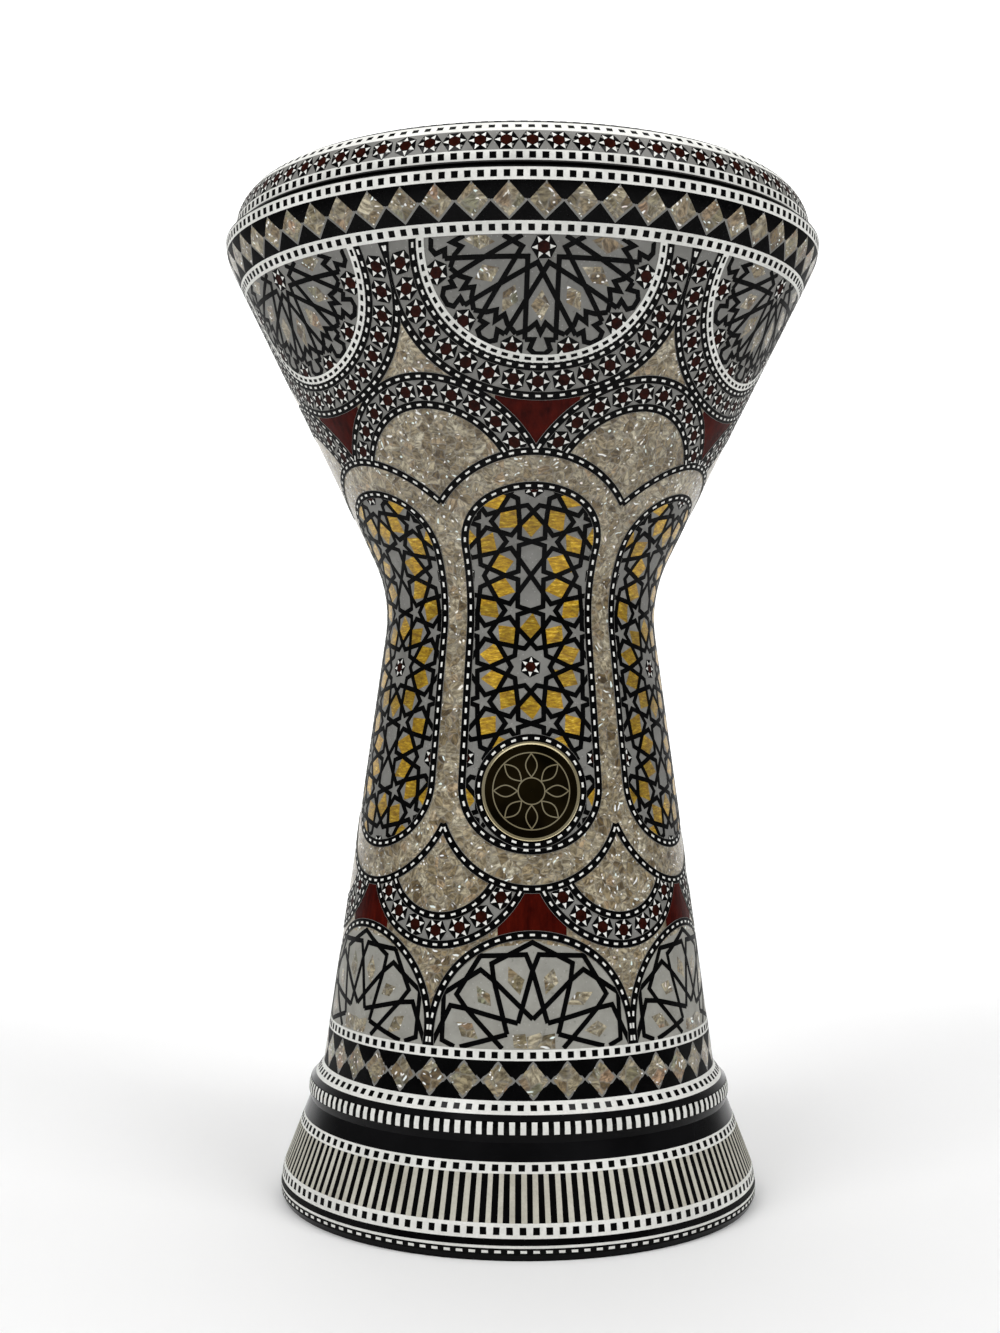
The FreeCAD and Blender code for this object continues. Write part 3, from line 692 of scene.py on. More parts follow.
def upper_medallion(angle):
    """Half a twelve-fold rosette under the collar, inside a white and a black strip."""
    place = Place(body, COLLAR, angle, HALF_SECTOR)
    centre = (0.0, -2.6)
    half_disc(upper["medallion_grounds"], place, MEDALLION["stars"] + 6.1, -1, GROUND)

    def inside(x, y):
        return y < -0.4 and math.hypot(x, y) < MEDALLION["ground"]

    straps = upper["medallion_straps"]

    def at(axis, along, across):
        """Point of a petal, along and across its axis."""
        return spoke(across, axis + 90, spoke(along, axis, centre))

    half = PETAL_HALF
    lobe = [(PETAL_END, half), (PETAL_END, 2.7), (43.2, 4.2), (45.1, 2.0)]
    lobe += [(along, -across) for along, across in reversed(lobe)]
    barb = [(35.3, -5.0), (32.6, -1.9), (36.5, 0), (32.6, 1.9), (35.3, 5.0)]
    for k in range(ROSETTE_RAYS):
        axis = RAY * k
        strap(straps, place, [at(axis, PETAL_END, half), at(axis, half, half),
                              at(axis + 90, PETAL_END, -half)], inside)
        strap(straps, place, [at(axis, *point) for point in lobe], inside)
        strap(straps, place, [at(axis - RAY / 2, BARB_RADIUS, 0)] + [at(axis, *point)
              for point in barb] + [at(axis + RAY / 2, BARB_RADIUS, 0)], inside)
        pearl_chip(upper["medallion_pearls"], place, at(axis, PETAL_CHIP_RADIUS, 0), axis,
                   **PETAL_CHIP, top=CHIP, inside=inside)
        upper_stars.put(place, *at(axis + RAY / 2, ROSETTE_STAR_RADIUS, 0), rng.choice((0, 30)),
                        inside)
    upper_stars.put(place, 0.0, -5.0, 0, inside)

    full = (180.0, 360.0)
    white = circle(MEDALLION["white"], *full)
    upper["white_strips"].strip(place, white, WHITE_STRIP_WIDTH, STRIP)
    dashes(upper["white_strip_dashes"], place, white, **WHITE_STRIP_DASH)
    for key in ("black", "outer"):
        upper_strips.put(place, circle(MEDALLION[key], *full))
    star_row(upper_stars, place, circle(MEDALLION["stars"], 184.0, 356.0), 17)
    red_triangle(upper["red_triangles"], angle, ARCH, SCALLOP,
                 (place, MEDALLION["outer"], -1, 17.5))


def lower_medallion(angle):
    """Half a twelve-fold rosette on the foot bands, inside a black strip."""
    place = Place(body, FOOT, angle, HALF_SECTOR)
    rise = body.at_height(LOW_MEDALLION["height"]) - place.start
    rim = LOW_MEDALLION["outer"]
    half_disc(lower["medallion_grounds"], place, rim, 1, GROUND)

    def inside(x, y):
        return y > 0.4 and math.hypot(x, max(0.0, y - rise)) < rim

    straps = lower["medallion_straps"]
    corners = [(12.3, -60), (32.0, -30), (38.6, -26), (43.5, 0), (38.6, 26), (32.0, 30), (12.3, 60)]
    for k in range(ROSETTE_RAYS):
        strap(straps, place, [spoke(radius, RAY * k + turn) for radius, turn in corners], inside)
    for k in range(ROSETTE_RAYS // 2):
        axis = RAY * (k + 0.5)
        pearl_chip(lower["medallion_pearls"], place, spoke(28.8, axis), axis + rng.uniform(-25, 25),
                   7.0, 11.0, CHIP, inside, 0.22)
    for x in (-5.4, 0.6, 6.0):
        pearl_chip(lower["medallion_pearls"], place, (x, 3.4), rng.uniform(30, 60), 8.0, 8.5, CHIP,
                   inside, 0.2)
    path = [(rim, 0.0)] + circle(rim, 0.0, 180.0, (0.0, rise)) + [(-rim, 0.0)]
    lower_strips.put(place, path)
    red_triangle(lower["red_triangles"], angle, LOW_ARCH, LOW_SCALLOP,
                 (Place(body, LOW_MEDALLION["height"], angle, HALF_SECTOR), rim, 1, 14.5))


# waist panels
PANEL_ANGLE = math.radians(24.15)
PANEL_LOW, PANEL_HIGH = 159.8, 311.5
PANEL_CAP_LOW, PANEL_CAP_HIGH = 187.0, 287.0
PANEL_CENTRE = 236.5
POLYGON_EDGE = 11.4
LATTICE = (28.39, 39.06)
GOLD_CHIP = {"wide": 9.6, "tall": 12.4}
GOLD_CHIP_RADIUS = 16.7


def panel_shape(place):
    """Half angle of a panel's edge at a height over the frame's origin."""
    levels = [body.at_height(height) - place.start
              for height in (PANEL_LOW, PANEL_CAP_LOW, PANEL_CAP_HIGH, PANEL_HIGH)]

    def half_angle(y):
        share = 0.0
        if y < levels[1]:
            share = (levels[1] - y) / (levels[1] - levels[0])
        elif y > levels[2]:
            share = (y - levels[2]) / (levels[3] - levels[2])
        return PANEL_ANGLE * math.sqrt(max(0.0, 1 - share ** 2))

    return levels, half_angle


def panel_straps():
    """Strap lines of the panel, in its own frame: stars in a tiling of polygons."""
    edge = POLYGON_EDGE
    inner = edge / 2 / math.tan(math.radians(18))
    star_inner = inner * math.cos(math.radians(72)) / math.cos(math.radians(36)) ** 2
    paths, centres, seen = [], [], set()

    def fresh(x, y):
        key = (round(x), round(y))
        if key in seen:
            return False
        seen.add(key)
        return True

    def polygon_star(corners):
        """Star in a polygon whose sides meet the strap lines at 72 degrees."""
        lean = math.radians(72)
        count = len(corners)
        middles, runs = [], []
        for here, after in sides_of(corners):
            middles.append(Vector(between(here, after, 0.5)))
            runs.append((Vector(after) - Vector(here)).normalized())
        for number in range(count):
            other = (number + 1) % count
            first = Matrix.Rotation(lean, 2) @ runs[number]
            second = Matrix.Rotation(-lean, 2) @ -runs[other]
            gap = middles[other] - middles[number]
            along = gap.cross(second) / first.cross(second)
            corner = middles[number] + first * along
            paths.append([tuple(middles[number]), tuple(corner), tuple(middles[other])])

    side = edge / 2 / math.tan(math.radians(36))
    for column in range(-1, 2):
        for row in range(-2, 3):
            if (column + row) % 2:
                continue
            centre = (column * LATTICE[0], row * LATTICE[1])
            centres.append(centre)
            for k in range(10):
                paths.append([spoke(inner, 36 * k, centre), spoke(star_inner, 36 * (k + 1), centre),
                              spoke(inner, 36 * (k + 2), centre)])
                middle = spoke(inner + side, 36 * k, centre)
                if k % 5 and fresh(*middle):
                    polygon_star([spoke(side / math.cos(math.radians(36)), 36 * k + 72 * n, middle)
                                  for n in range(5)])
            for turned in (1, -1):
                middle = (centre[0] + turned * LATTICE[0], centre[1])
                if fresh(*middle):
                    across, up = edge * math.cos(math.radians(18)), edge / 2
                    tip = up + edge * math.sin(math.radians(18))
                    polygon_star([(middle[0] + across * a, middle[1] + b) for a, b in (
                        (1, -up), (1, up), (0, tip), (-1, up), (-1, -up), (0, -tip))])
    return paths, centres


def waist_panel(angle, lines, centres, front):
    """A tall panel of ten-fold strapwork with gold chips, inside a dashed strip."""
    place = Place(body, PANEL_CENTRE, angle)
    levels, half_angle = panel_shape(place)

    def half_width(y):
        return half_angle(y) * body.radius(place.start + y)

    def inside(x, y):
        if not levels[0] < y < levels[3]:
            return False
        if front and math.hypot(x, y - badge_rise) < BADGE_RING:
            return False
        return abs(x) < half_width(y)

    def heights(count):
        """Heights up the panel, closer together towards its ends."""
        tall = levels[3] - levels[0]
        return [levels[0] + tall * (0.5 - 0.5 * math.cos(math.pi * number / count))
                for number in range(count + 1)]

    rows = [level_row(max(half_width(y), 0.4), y, 24) for y in heights(62)]
    waist["panel_grounds"].plate(place, rows, GROUND)
    for path in lines:
        if min(y for _, y in path) < levels[3] and max(y for _, y in path) > levels[0]:
            strap(waist["panel_straps"], place, path, inside)
    for centre in centres:
        waist_stars.put(place, *centre, rng.choice((0, 30)), inside, radius=4.6)
        for k in range(10):
            ray = 18 + 36 * k
            spot = spoke(GOLD_CHIP_RADIUS + rng.uniform(-0.4, 0.4), ray, centre)
            if inside(*spot):
                pearl_chip(waist["gold_chips"], place, spot, ray + rng.uniform(-12, 12),
                           **GOLD_CHIP, top=CHIP, inside=inside, irregular=0.12)
    right = [(half_width(y), y) for y in heights(60)]
    left = [(-x, y) for x, y in reversed(right[1:-1])]
    waist_strips.put(place, smooth_loop(right + left), loop=True)


def smooth_loop(path):
    """A closed path with points spread evenly along it."""
    around = path + path[:1]
    whole = path_length(around)
    count = round(whole / STEP)
    return [cut_out(around, whole * (number + 0.01) / count, whole)[0]
            for number in range(count)]


BADGE_HEIGHT = 184.3
BADGE_RING = 22.3
badge_rise = body.at_height(BADGE_HEIGHT) - body.at_height(PANEL_CENTRE)


def badge():
    """Blank brass badge with a raised rim and a plain turned rosette, in a dashed ring."""
    place = Place(body, BADGE_HEIGHT, FRONT)
    strips = Strips("badge_ring")
    strips.put(place, circle(BADGE_RING + 0.1, 0, 360, step=1.6)[:-1], loop=True, lift=0.06)
    # The badge face is brass with a near-black base colour: a painted dark reflection of what lies in
    # front of it. The rim and rosette keep the plain brass.
    metal = Piece("badge_disc", "painted_reflection_brass")
    bright = Piece("badge_relief", "brass")

    def turned(piece, profile):
        piece.add(*turned_solid(profile[::-1], 96, lambda radius, rise, angle: place.put(
            radius * math.cos(angle), radius * math.sin(angle), rise)))

    face, crest, floor, hub = 0.34, 0.56, 19.7, 0.05
    steps = 12
    disc = [(hub, face)] + [(floor * number / steps, face) for number in range(1, steps + 1)]
    turned(metal, disc + [(floor, DEEP), (hub, DEEP)])
    turned(bright, [(floor, face), (20.1, crest - 0.08), (20.4, crest), (20.7, crest),
                    (20.95, crest - 0.14), (20.97, DEEP), (floor, DEEP)])
    line = {"width": 0.5, "top": face + 0.14, "bottom": 0.1}
    for radius in (16.2, 5.6):
        bright.strip(place, circle(radius, 0, 360, step=1.0)[:-1], loop=True, **line)
    for k in range(8):
        for side in (1, -1):
            petal = []
            for share in [number / 16 for number in range(17)]:
                bulge = side * 2.4 * math.sin(math.pi * share)
                petal.append(spoke(bulge, 45 * k + 90, spoke(5.9 + 9.9 * share, 45 * k)))
            bright.strip(place, petal, **line)


pearl_field()
panel_lines, panel_centres = panel_straps()
for sector in range(SECTORS):
    turned_by = TURN * sector / SECTORS
    upper_medallion(turned_by)
    lower_medallion(turned_by)
    waist_panel(turned_by, panel_lines, panel_centres, sector == 0)
    scallop_strip(upper_strips, turned_by, SCALLOP, 1)
    scallop_strip(lower_strips, turned_by, LOW_SCALLOP, -1)
    arch(upper, upper_stars, upper_strips, turned_by + HALF_SECTOR, ARCH, SCALLOP, 1)
    arch(lower, lower_stars, lower_strips, turned_by + HALF_SECTOR, LOW_ARCH, LOW_SCALLOP, -1)
badge()


# ---------------------------------------------------------------- materials
COAT = {"Coat_Weight": 0.14, "Coat_Roughness": 0.035, "Coat_IOR": 1.45}


class Graph:
    """A material's node graph."""

    def __init__(self, name):
        self.material = bpy.data.materials.new(name)
        self.material.use_nodes = True
        self.tree = self.material.node_tree
        self.shader = self.tree.nodes["Principled BSDF"]
        self.place = self.node("ShaderNodeTexCoord").outputs["Object"]

    def feed(self, socket, value):
        """Link a socket to an output, or set it to a plain value or colour."""
        if isinstance(value, bpy.types.NodeSocket):
            self.tree.links.new(value, socket)
        elif socket.type == "RGBA":
            socket.default_value = (*value, 1.0)
        else:
            socket.default_value = value

    def node(self, kind, inputs=None, **settings):
        made = self.tree.nodes.new(kind)
        for key, value in settings.items():
            setattr(made, key, value)
        for key, value in (inputs or {}).items():
            self.feed(made.inputs[key], value)
        return made

    def link(self, output, name="Base Color"):
        self.tree.links.new(output, self.shader.inputs[name])

    def set(self, **values):
        for name, value in values.items():
            self.shader.inputs[name.replace("_", " ")].default_value = value

    def noise(self, scale, detail=4.0, rough=0.55, place=None, output="Fac"):
        return self.node("ShaderNodeTexNoise", {
            "Vector": place or self.place, "Scale": scale, "Detail": detail,
            "Roughness": rough}).outputs[output]

    def cells(self, scale, output="Distance", feature="F1", place=None):
        return self.node("ShaderNodeTexVoronoi", {"Vector": place or self.place, "Scale": scale},
                         feature=feature).outputs[output]

    def stretch(self, scale, place=None, turned=(0.0, 0.0, 0.0)):
        return self.node("ShaderNodeMapping", {"Vector": place or self.place, "Scale": scale,
                                               "Rotation": turned}).outputs["Vector"]

    def split(self, colour):
        return self.node("ShaderNodeSeparateColor", {"Color": colour}).outputs

    def ramp(self, value, stops):
        made = self.node("ShaderNodeValToRGB", {"Fac": value})
        elements = made.color_ramp.elements
        while len(elements) < len(stops):
            elements.new(0.5)
        for element, (position, colour) in zip(elements, stops):
            element.position = position
            element.color = (*colour, 1.0)
        return made.outputs["Color"]

    def greys(self, value, first, last, start=0.3, end=0.7):
        """Ramp from one grey to another."""
        return self.ramp(value, [(start, (first,) * 3), (end, (last,) * 3)])

    def mix(self, share, first, second, blend="MIX"):
        return self.node("ShaderNodeMix", {0: share, 6: first, 7: second}, data_type="RGBA",
                         blend_type=blend).outputs[2]

    def bump(self, height, strength, distance):
        made = self.node("ShaderNodeBump", {"Height": height, "Strength": strength,
                                            "Distance": distance})
        self.link(made.outputs["Normal"], "Normal")

    def sum(self, kind, *values):
        return self.node("ShaderNodeMath", dict(enumerate(values)), operation=kind).outputs[0]

    def vector(self, kind, *values, output="Vector"):
        return self.node("ShaderNodeVectorMath", dict(enumerate(values)),
                         operation=kind).outputs[output]


def lacquered(graph, roughness=0.4):
    """The clear lacquer over every inlay."""
    graph.set(Roughness=roughness, Specular_IOR_Level=0.0, **COAT)
    return graph.material


def bone(name, bright, dull):
    graph = Graph(name)
    colour = graph.ramp(graph.noise(55.0, 5.0), [(0.30, dull), (0.62, bright)])
    flecks = graph.ramp(graph.noise(900.0, 3.0), [(0.35, tuple(0.62 * part for part in dull)),
                                                  (0.6, bright)])
    graph.link(graph.mix(0.16, colour, flecks))
    return lacquered(graph)


def two_tone(name, scale, dark, light, end, roughness=0.4):
    """Inlay that goes from a dark to a light tone in soft clouds."""
    graph = Graph(name)
    graph.link(graph.ramp(graph.noise(scale), [(0.3, dark), (end, light)]))
    return lacquered(graph, roughness)


def resin(name, dull, bright):
    """Mottled filler between the inlay pieces."""
    graph = Graph(name)
    colour = graph.ramp(graph.noise(85.0, 6.0, 0.62), [(0.28, dull), (0.70, bright)])
    specks = graph.greys(graph.cells(620.0), 1, 0, 0.10, 0.2)
    colour = graph.mix(graph.sum("MULTIPLY", specks, 0.28), colour, (0.62, 0.62, 0.60))
    dirt = graph.greys(graph.noise(330.0, 3.0), 0, 1, 0.66, 0.74)
    graph.link(graph.mix(graph.sum("MULTIPLY", dirt, 0.45), colour, (0.09, 0.085, 0.075)))
    return lacquered(graph, 0.38)


def pearl(name, scale, painted_glint_share, tones):
    """Mother of pearl: flakes that each have a tone and a grain of their own, some with a painted
    glint.
    """
    graph = Graph(name)
    place = graph.vector("MULTIPLY_ADD", graph.noise(90.0, 3.0, output="Color"), (0.006,) * 3,
                         graph.place)
    flakes = graph.cells(scale, "Color", place=place)
    turned = graph.node("ShaderNodeVectorRotate", {
        "Vector": place, "Rotation": graph.vector("MULTIPLY", flakes, (6.3,) * 3)},
        rotation_type="EULER_XYZ").outputs["Vector"]
    grain = graph.stretch((1.0, 1.0, 0.22), turned)
    streaks = graph.noise(760.0, 4.0, 0.6, grain)
    veins = graph.ramp(streaks, [(0.36, (0.30, 0.25, 0.18)), (0.50, (0.82, 0.79, 0.72)),
                                 (0.62, (1.75, 1.73, 1.66))])
    colour = graph.mix(0.9, graph.ramp(graph.split(flakes)["Red"], tones), veins, "MULTIPLY")
    colour = graph.mix(1.0, colour, graph.ramp(graph.noise(60.0, 4.0, 0.6), [
        (0.32, (0.70, 0.66, 0.58)), (0.66, (1.18, 1.16, 1.12))]), "MULTIPLY")
    seams = graph.greys(graph.cells(scale, feature="DISTANCE_TO_EDGE", place=place), 1, 0, 0.0, 0.10)
    colour = graph.mix(graph.sum("MULTIPLY", seams, 0.45), colour, (0.27, 0.26, 0.23))
    # Painted glints: a share of the grain cells get a near-white base colour that stands for light
    # caught on the flakes.
    pick = graph.split(graph.cells(760.0, "Color", place=grain))
    painted_glint_mask = graph.greys(pick["Green"], 0, 1, 1 - painted_glint_share, 1 - painted_glint_share * 0.8)
    inner = graph.greys(graph.cells(760.0, place=grain), 1, 0, 0.28, 0.42)
    painted_glint_colour = graph.ramp(pick["Blue"], [(0.0, (1.0, 0.96, 0.86)), (0.4, (1, 1, 1)),
                                      (0.7, (0.85, 0.98, 0.94)), (1.0, (1, 0.90, 0.87))])
    graph.link(graph.mix(graph.sum("MULTIPLY", painted_glint_mask, inner), colour, painted_glint_colour))
    graph.link(graph.greys(streaks, 0.42, 0.2), "Roughness")
    graph.bump(streaks, 0.35, 0.0005)
    graph.set(**COAT)
    return graph.material


PEARL_TONES = [(0.0, (0.09, 0.062, 0.03)), (0.16, (0.21, 0.165, 0.10)), (0.32, (0.36, 0.33, 0.25)),
               (0.46, (0.13, 0.11, 0.065)), (0.60, (0.42, 0.39, 0.31)), (0.74, (0.22, 0.19, 0.12)),
               (0.86, (0.20, 0.21, 0.15)), (1.0, (0.30, 0.20, 0.13))]
CRUSHED_TONES = [(0.0, (0.11, 0.08, 0.04)), (0.2, (0.26, 0.215, 0.14)), (0.4, (0.36, 0.33, 0.255)),
                 (0.6, (0.19, 0.155, 0.095)), (0.8, (0.38, 0.36, 0.295)), (1.0, (0.29, 0.22, 0.14))]


def wood():
    graph = Graph("mahogany")
    grain = graph.noise(260.0, 6.0, 0.65, graph.stretch((1.0, 1.0, 0.2)))
    colour = graph.ramp(grain, [(0.3, (0.020, 0.0010, 0.0006)), (0.7, (0.075, 0.0050, 0.0018))])
    graph.link(graph.mix(0.5, colour, graph.ramp(graph.noise(30.0, 2.0), [
        (0.3, (0.55, 0.5, 0.5)), (0.7, (1.25, 1.2, 1.2))]), "MULTIPLY"))
    return lacquered(graph)


def gold():
    graph = Graph("gold foil")
    streaks = graph.noise(330.0, 5.0, 0.7, graph.stretch((1.0, 1.0, 3.4), turned=(0.35, 0.5, 0.0)))
    colour = graph.ramp(streaks, [(0.32, (0.21, 0.11, 0.004)), (0.48, (0.40, 0.245, 0.007)),
                                  (0.60, (0.62, 0.42, 0.014)), (0.72, (0.95, 0.84, 0.20))])
    tone = graph.ramp(graph.split(graph.cells(95.0, "Color"))["Red"], [
        (0.0, (0.62, 0.58, 0.5)), (1.0, (1.1, 1.0, 0.95))])
    graph.link(graph.mix(1.0, colour, tone, "MULTIPLY"))
    graph.bump(streaks, 0.5, 0.0005)
    graph.set(Metallic=0.35, Roughness=0.34, **COAT)
    return graph.material


def lacquered_casting():
    """Black gloss lacquer outside; bare cast aluminium where the surface lies inside."""
    graph = Graph("cast shell")
    axis = graph.node("ShaderNodeSeparateXYZ", {"Vector": graph.place})
    normal = graph.node("ShaderNodeNewGeometry").outputs["Normal"]
    flat = graph.node("ShaderNodeCombineXYZ", {"X": axis.outputs["X"],
                                               "Y": axis.outputs["Y"]}).outputs["Vector"]
    outward = graph.vector("DOT_PRODUCT", flat, normal, output="Value")
    facing = graph.sum("DIVIDE", outward, graph.vector("LENGTH", flat, output="Value"))
    bare = graph.greys(graph.sum("ADD", graph.sum("MULTIPLY", facing, 2.0), 0.5), 1, 0, 0.10, 0.16)
    cast = graph.noise(420.0, 6.0, 0.7)
    metal = graph.ramp(cast, [(0.3, (0.30, 0.30, 0.31)), (0.7, (0.52, 0.52, 0.53))])
    lacquer = graph.ramp(graph.noise(28.0, 3.0), [(0.3, (0.0022, 0.0022, 0.0024)),
                                                  (0.7, (0.0060, 0.0060, 0.0066))])
    graph.link(graph.mix(bare, lacquer, metal))
    graph.link(bare, "Metallic")
    graph.link(graph.greys(bare, 0.16, 0.52, 0.0, 1.0), "Roughness")
    graph.bump(graph.sum("MULTIPLY", cast, bare), 0.3, 0.0004)
    graph.set(Specular_IOR_Level=0.06)
    return graph.material


def grained(name, cloud, dark, light, grain, rough, bump=None, **settings):
    """Two tones, with a fine grain in the roughness.

    cloud and grain are (scale, detail) of their noise; rough is the least and the most.
    """
    graph = Graph(name)
    graph.link(graph.ramp(graph.noise(*cloud), [(0.3, dark), (0.7, light)]))
    fine = graph.noise(*grain)
    graph.link(graph.greys(fine, *rough), "Roughness")
    if bump:
        graph.bump(fine, *bump)
    graph.set(**settings)
    return graph.material


def brass(name, dark, light):
    return grained(name, (60.0, 3.0), dark, light, (1600.0, 2.0), (0.06, 0.14), Metallic=1.0)


def metal(name, dark, light, rough, scale):
    return grained(name, (scale,), dark, light, (scale,), rough, (0.12, 0.0002), Metallic=1.0)


FINISHES = {
    "bone": bone("bone inlay", (0.86, 0.86, 0.82), (0.70, 0.70, 0.66)),
    "ivory": bone("ivory inlay", (0.62, 0.60, 0.52), (0.44, 0.42, 0.35)),
    "black": two_tone("black inlay", 120.0, (0.0008, 0.0008, 0.0009), (0.0030, 0.003, 0.0032),
                      0.75, 0.45),
    "grey": resin("grey resin", (0.175, 0.173, 0.162), (0.250, 0.247, 0.232)),
    "cream": resin("cream resin", (0.27, 0.266, 0.238), (0.38, 0.375, 0.34)),
    "pearl": pearl("pearl chips", 170.0, 0.22, PEARL_TONES),
    "crushed_pearl": pearl("crushed pearl", 270.0, 0.17, CRUSHED_TONES),
    "mahogany": wood(),
    "dark_red": two_tone("dark red inlay", 420.0, (0.010, 0.0018, 0.0010),
                         (0.034, 0.0060, 0.0032), 0.72),
    "gold": gold(),
    "brass": brass("polished brass", (0.78, 0.66, 0.38), (0.92, 0.82, 0.55)),
    # Near-black brass for the badge face: a painted dark reflection, not a darker metal.
    "painted_reflection_brass": brass("brass with painted dark reflection", (0.010, 0.008, 0.003), (0.040, 0.028, 0.010)),
    "casting": lacquered_casting(),
    "ring_lacquer": grained("ring lacquer", (60.0,), (0.010, 0.010, 0.0095), (0.020, 0.020, 0.018),
                            (1300.0, 2.0), (0.28, 0.42)),
    "aluminium": metal("hoop aluminium", (0.52, 0.52, 0.53), (0.66, 0.66, 0.67), (0.26, 0.42), 800.0),
    "steel": metal("black steel", (0.06, 0.06, 0.065), (0.12, 0.12, 0.125), (0.3, 0.45), 900.0),
    "washer": metal("zinc steel", (0.45, 0.45, 0.44), (0.6, 0.6, 0.58), (0.28, 0.42), 900.0),
    "film": grained("drum film", (16.0, 5.0), (0.70, 0.70, 0.68), (0.80, 0.80, 0.78), (1500.0, 2.0),
                    (0.36, 0.52), (0.08, 0.0001), Specular_IOR_Level=0.45),
}


# ---------------------------------------------------------------- objects
def add_object(name, data):
    thing = bpy.data.objects.new(name, data)
    bpy.context.scene.collection.objects.link(thing)
    return thing


def make_object(name, points, faces, material):
    """Smooth-shaded object, with its sharper edges kept sharp."""
    mesh = bpy.data.meshes.new(name)
    mesh.from_pydata(points, [], faces)
    mesh.validate()
    mesh.polygons.foreach_set("use_smooth", [True] * len(mesh.polygons))
    mesh.set_sharp_from_angle(angle=math.radians(28))
    mesh.materials.append(material)
    mesh.update()
    return add_object(name, mesh)


for piece in pieces.values():
    thing = make_object(piece.name, piece.points, piece.faces, FINISHES[piece.finish])
    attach(thing, piece.body_name)

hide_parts("waist_pearl_field", "upper_arch_fields", "lower_arch_fields",
            "upper_spandrels", "lower_spandrels")
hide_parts("upper_medallion_grounds", "upper_star_arcs")
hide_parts("upper_white_strips")
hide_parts("upper_black_strips", "upper_outer_strips", "upper_arch_strips",
            "upper_scallop_strips")
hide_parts("upper_arch_star_bands")
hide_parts("upper_red_triangles")
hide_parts("lower_scallop_strips", "lower_medallion_strips",
            "lower_arch_strips")
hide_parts("lower_medallion_grounds")
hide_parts("lower_arch_star_bands")
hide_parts("lower_red_triangles")
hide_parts("waist_panel_borders")
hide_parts("waist_panels")
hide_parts("badge_disc")
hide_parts("badge_ring")


def drum_skin():
    """The film: a flat skin that turns down over the bearing edge into the hoop."""
    skin_low, skin_high = low("drum_head"), high("drum_head")
    collar_low, outer = low("head_collar"), reach("head_collar")
    thick = skin_high - skin_low
    flat = reach("drum_head")
    bend = outer - flat
    top = [(0.02, skin_high)] + [(flat * number / 24, skin_high) for number in range(1, 25)]
    top += [(flat + bend * math.sin(angle), skin_high - bend * (1 - math.cos(angle)))
            for angle in [math.pi / 2 * number / 8 for number in range(1, 9)]]
    inner = bend - thick
    under = [(outer, collar_low), (outer - thick, collar_low)]
    under += [(flat + inner * math.sin(angle), skin_low - inner * (1 - math.cos(angle)))
              for angle in [math.pi / 2 * (8 - number) / 8 for number in range(0, 9)]]
    under += [(flat * number / 24, skin_low) for number in range(23, 0, -1)] + [(0.02, skin_low)]

    def place(radius, height, angle):
        return radius * math.cos(angle) * MM, radius * math.sin(angle) * MM, height * MM

    skin = make_object("head_film", *turned_solid(top + under, 192, place), FINISHES["film"])
    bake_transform(skin)
    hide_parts("drum_head", "head_collar")


drum_skin()

CAD_FINISHES = {
    "casting": ["cast_shell"],
    "ring_lacquer": ["ring_casting"],
    "aluminium": ["head_hoop"],
    "washer": ["bolt_washers"],
    "steel": [f"tuning_bolt_{number}" for number in range(1, 9)],
    "bone": ["foot_pinstripe", "flare_squares_lower", "flare_squares_upper", "foot_squares_lower",
             "foot_squares_upper", "collar_squares_band", "shoulder_squares_band",
             "ring_squares_lower", "ring_squares_upper"],
    "black": ["foot_dash_band", "flare_black_band", "flare_stripe_band", "bead_stripe_band",
              "upper_diamond_ground", "foot_diamond_ground", "ring_dash_band"],
    "grey": ["ring_star_band"],
    "pearl": ["upper_diamonds", "foot_diamonds"],
}
for finish, names in CAD_FINISHES.items():
    for name in names:
        mesh = nodes[name].data
        mesh.materials.clear()
        mesh.materials.append(FINISHES[finish])


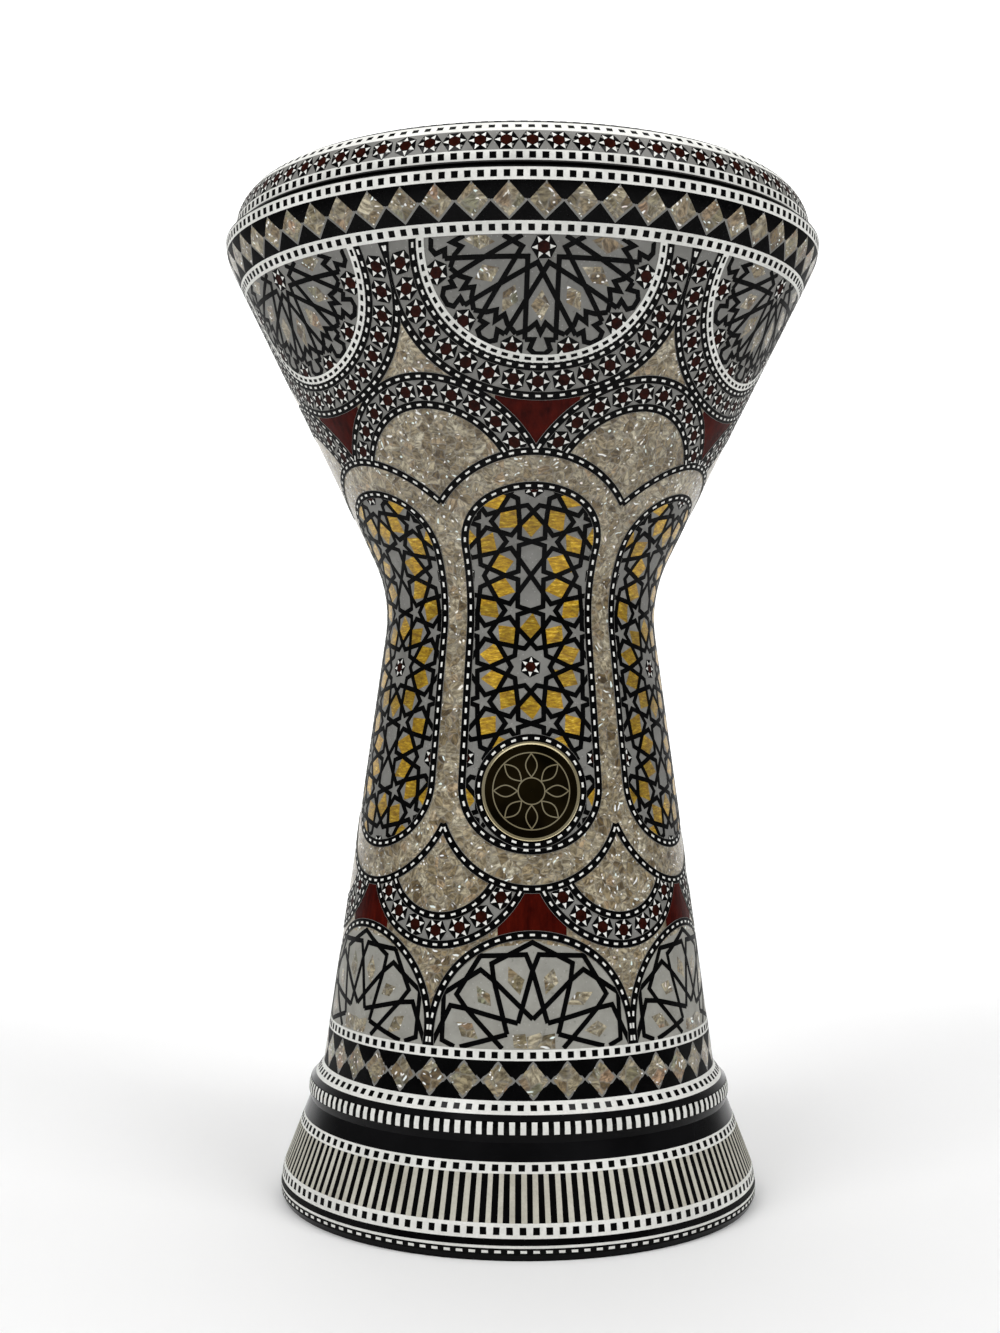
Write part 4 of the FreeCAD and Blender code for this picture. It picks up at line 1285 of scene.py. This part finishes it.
# ---------------------------------------------------------------- stage, light and camera
def stage_floor():
    """Pale floor that curves up behind the drum."""
    profile = [(-3.0, 0.0), (1.6, 0.0)]
    profile += [(1.6 + 0.8 * math.sin(angle), 0.8 - 0.8 * math.cos(angle))
                for angle in [math.pi / 2 * number / 12 for number in range(1, 13)]]
    profile.append((2.4, 4.0))
    points = [(x, y, z) for x in (-5.0, 5.0) for y, z in profile]
    count = len(profile)
    faces = [(index, count + index, count + index + 1, index + 1) for index in range(count - 1)]
    graph = Graph("pale floor")
    graph.link(graph.greys(graph.noise(2.0, 2.0), 0.916, 0.93))
    graph.set(Roughness=0.8)
    floor = make_object("floor", points, faces, graph.material)


def soft_light(name, spot, aim, size, power):
    light = bpy.data.lights.new(name, "AREA")
    light.shape = "RECTANGLE"
    light.size, light.size_y = size
    light.energy = power
    thing = add_object(name, light)
    thing.location = spot
    thing.rotation_euler = (Vector(aim) - Vector(spot)).to_track_quat("-Z", "Y").to_euler()


stage_floor()
centre = (0.0, 0.0, 0.22)
soft_light("light_left", (-0.75, -0.75, 1.15), centre, (0.7, 0.5), 9.0)
soft_light("light_right", (0.75, -0.75, 1.15), centre, (0.7, 0.5), 8.0)
soft_light("light_top", (0.0, 0.1, 1.7), centre, (1.4, 1.0), 7.0)
soft_light("light_back", (0.0, 1.1, 1.7), (0.0, 2.2, 0.9), (3.5, 0.8), 55.0)

world = bpy.data.worlds.new("studio")
world.use_nodes = True
sky = world.node_tree.nodes["Background"].inputs
sky["Color"].default_value = (1.0, 1.0, 1.0, 1.0)
sky["Strength"].default_value = 0.22
bpy.context.scene.world = world

EYE_DISTANCE, EYE_HEIGHT, EYE_AZIMUTH = 0.7929, 0.2236, math.radians(4.0)
camera_data = bpy.data.cameras.new("camera")
camera_data.lens = 46.5
camera_data.sensor_width = 36.0
camera = add_object("camera", camera_data)
eye = Vector((-EYE_DISTANCE * math.sin(EYE_AZIMUTH), -EYE_DISTANCE * math.cos(EYE_AZIMUTH),
              EYE_HEIGHT))
camera.location = eye
yaw, pitch, roll = math.radians(0.67), math.radians(1.02), math.radians(0.26)
aim = Euler((math.pi / 2 + pitch, 0.0, -EYE_AZIMUTH + yaw)).to_matrix()
camera.rotation_euler = (aim @ Matrix.Rotation(roll, 3, "Z")).to_euler()
bpy.context.scene.camera = camera
bpy.context.scene.view_settings.view_transform = "Standard"
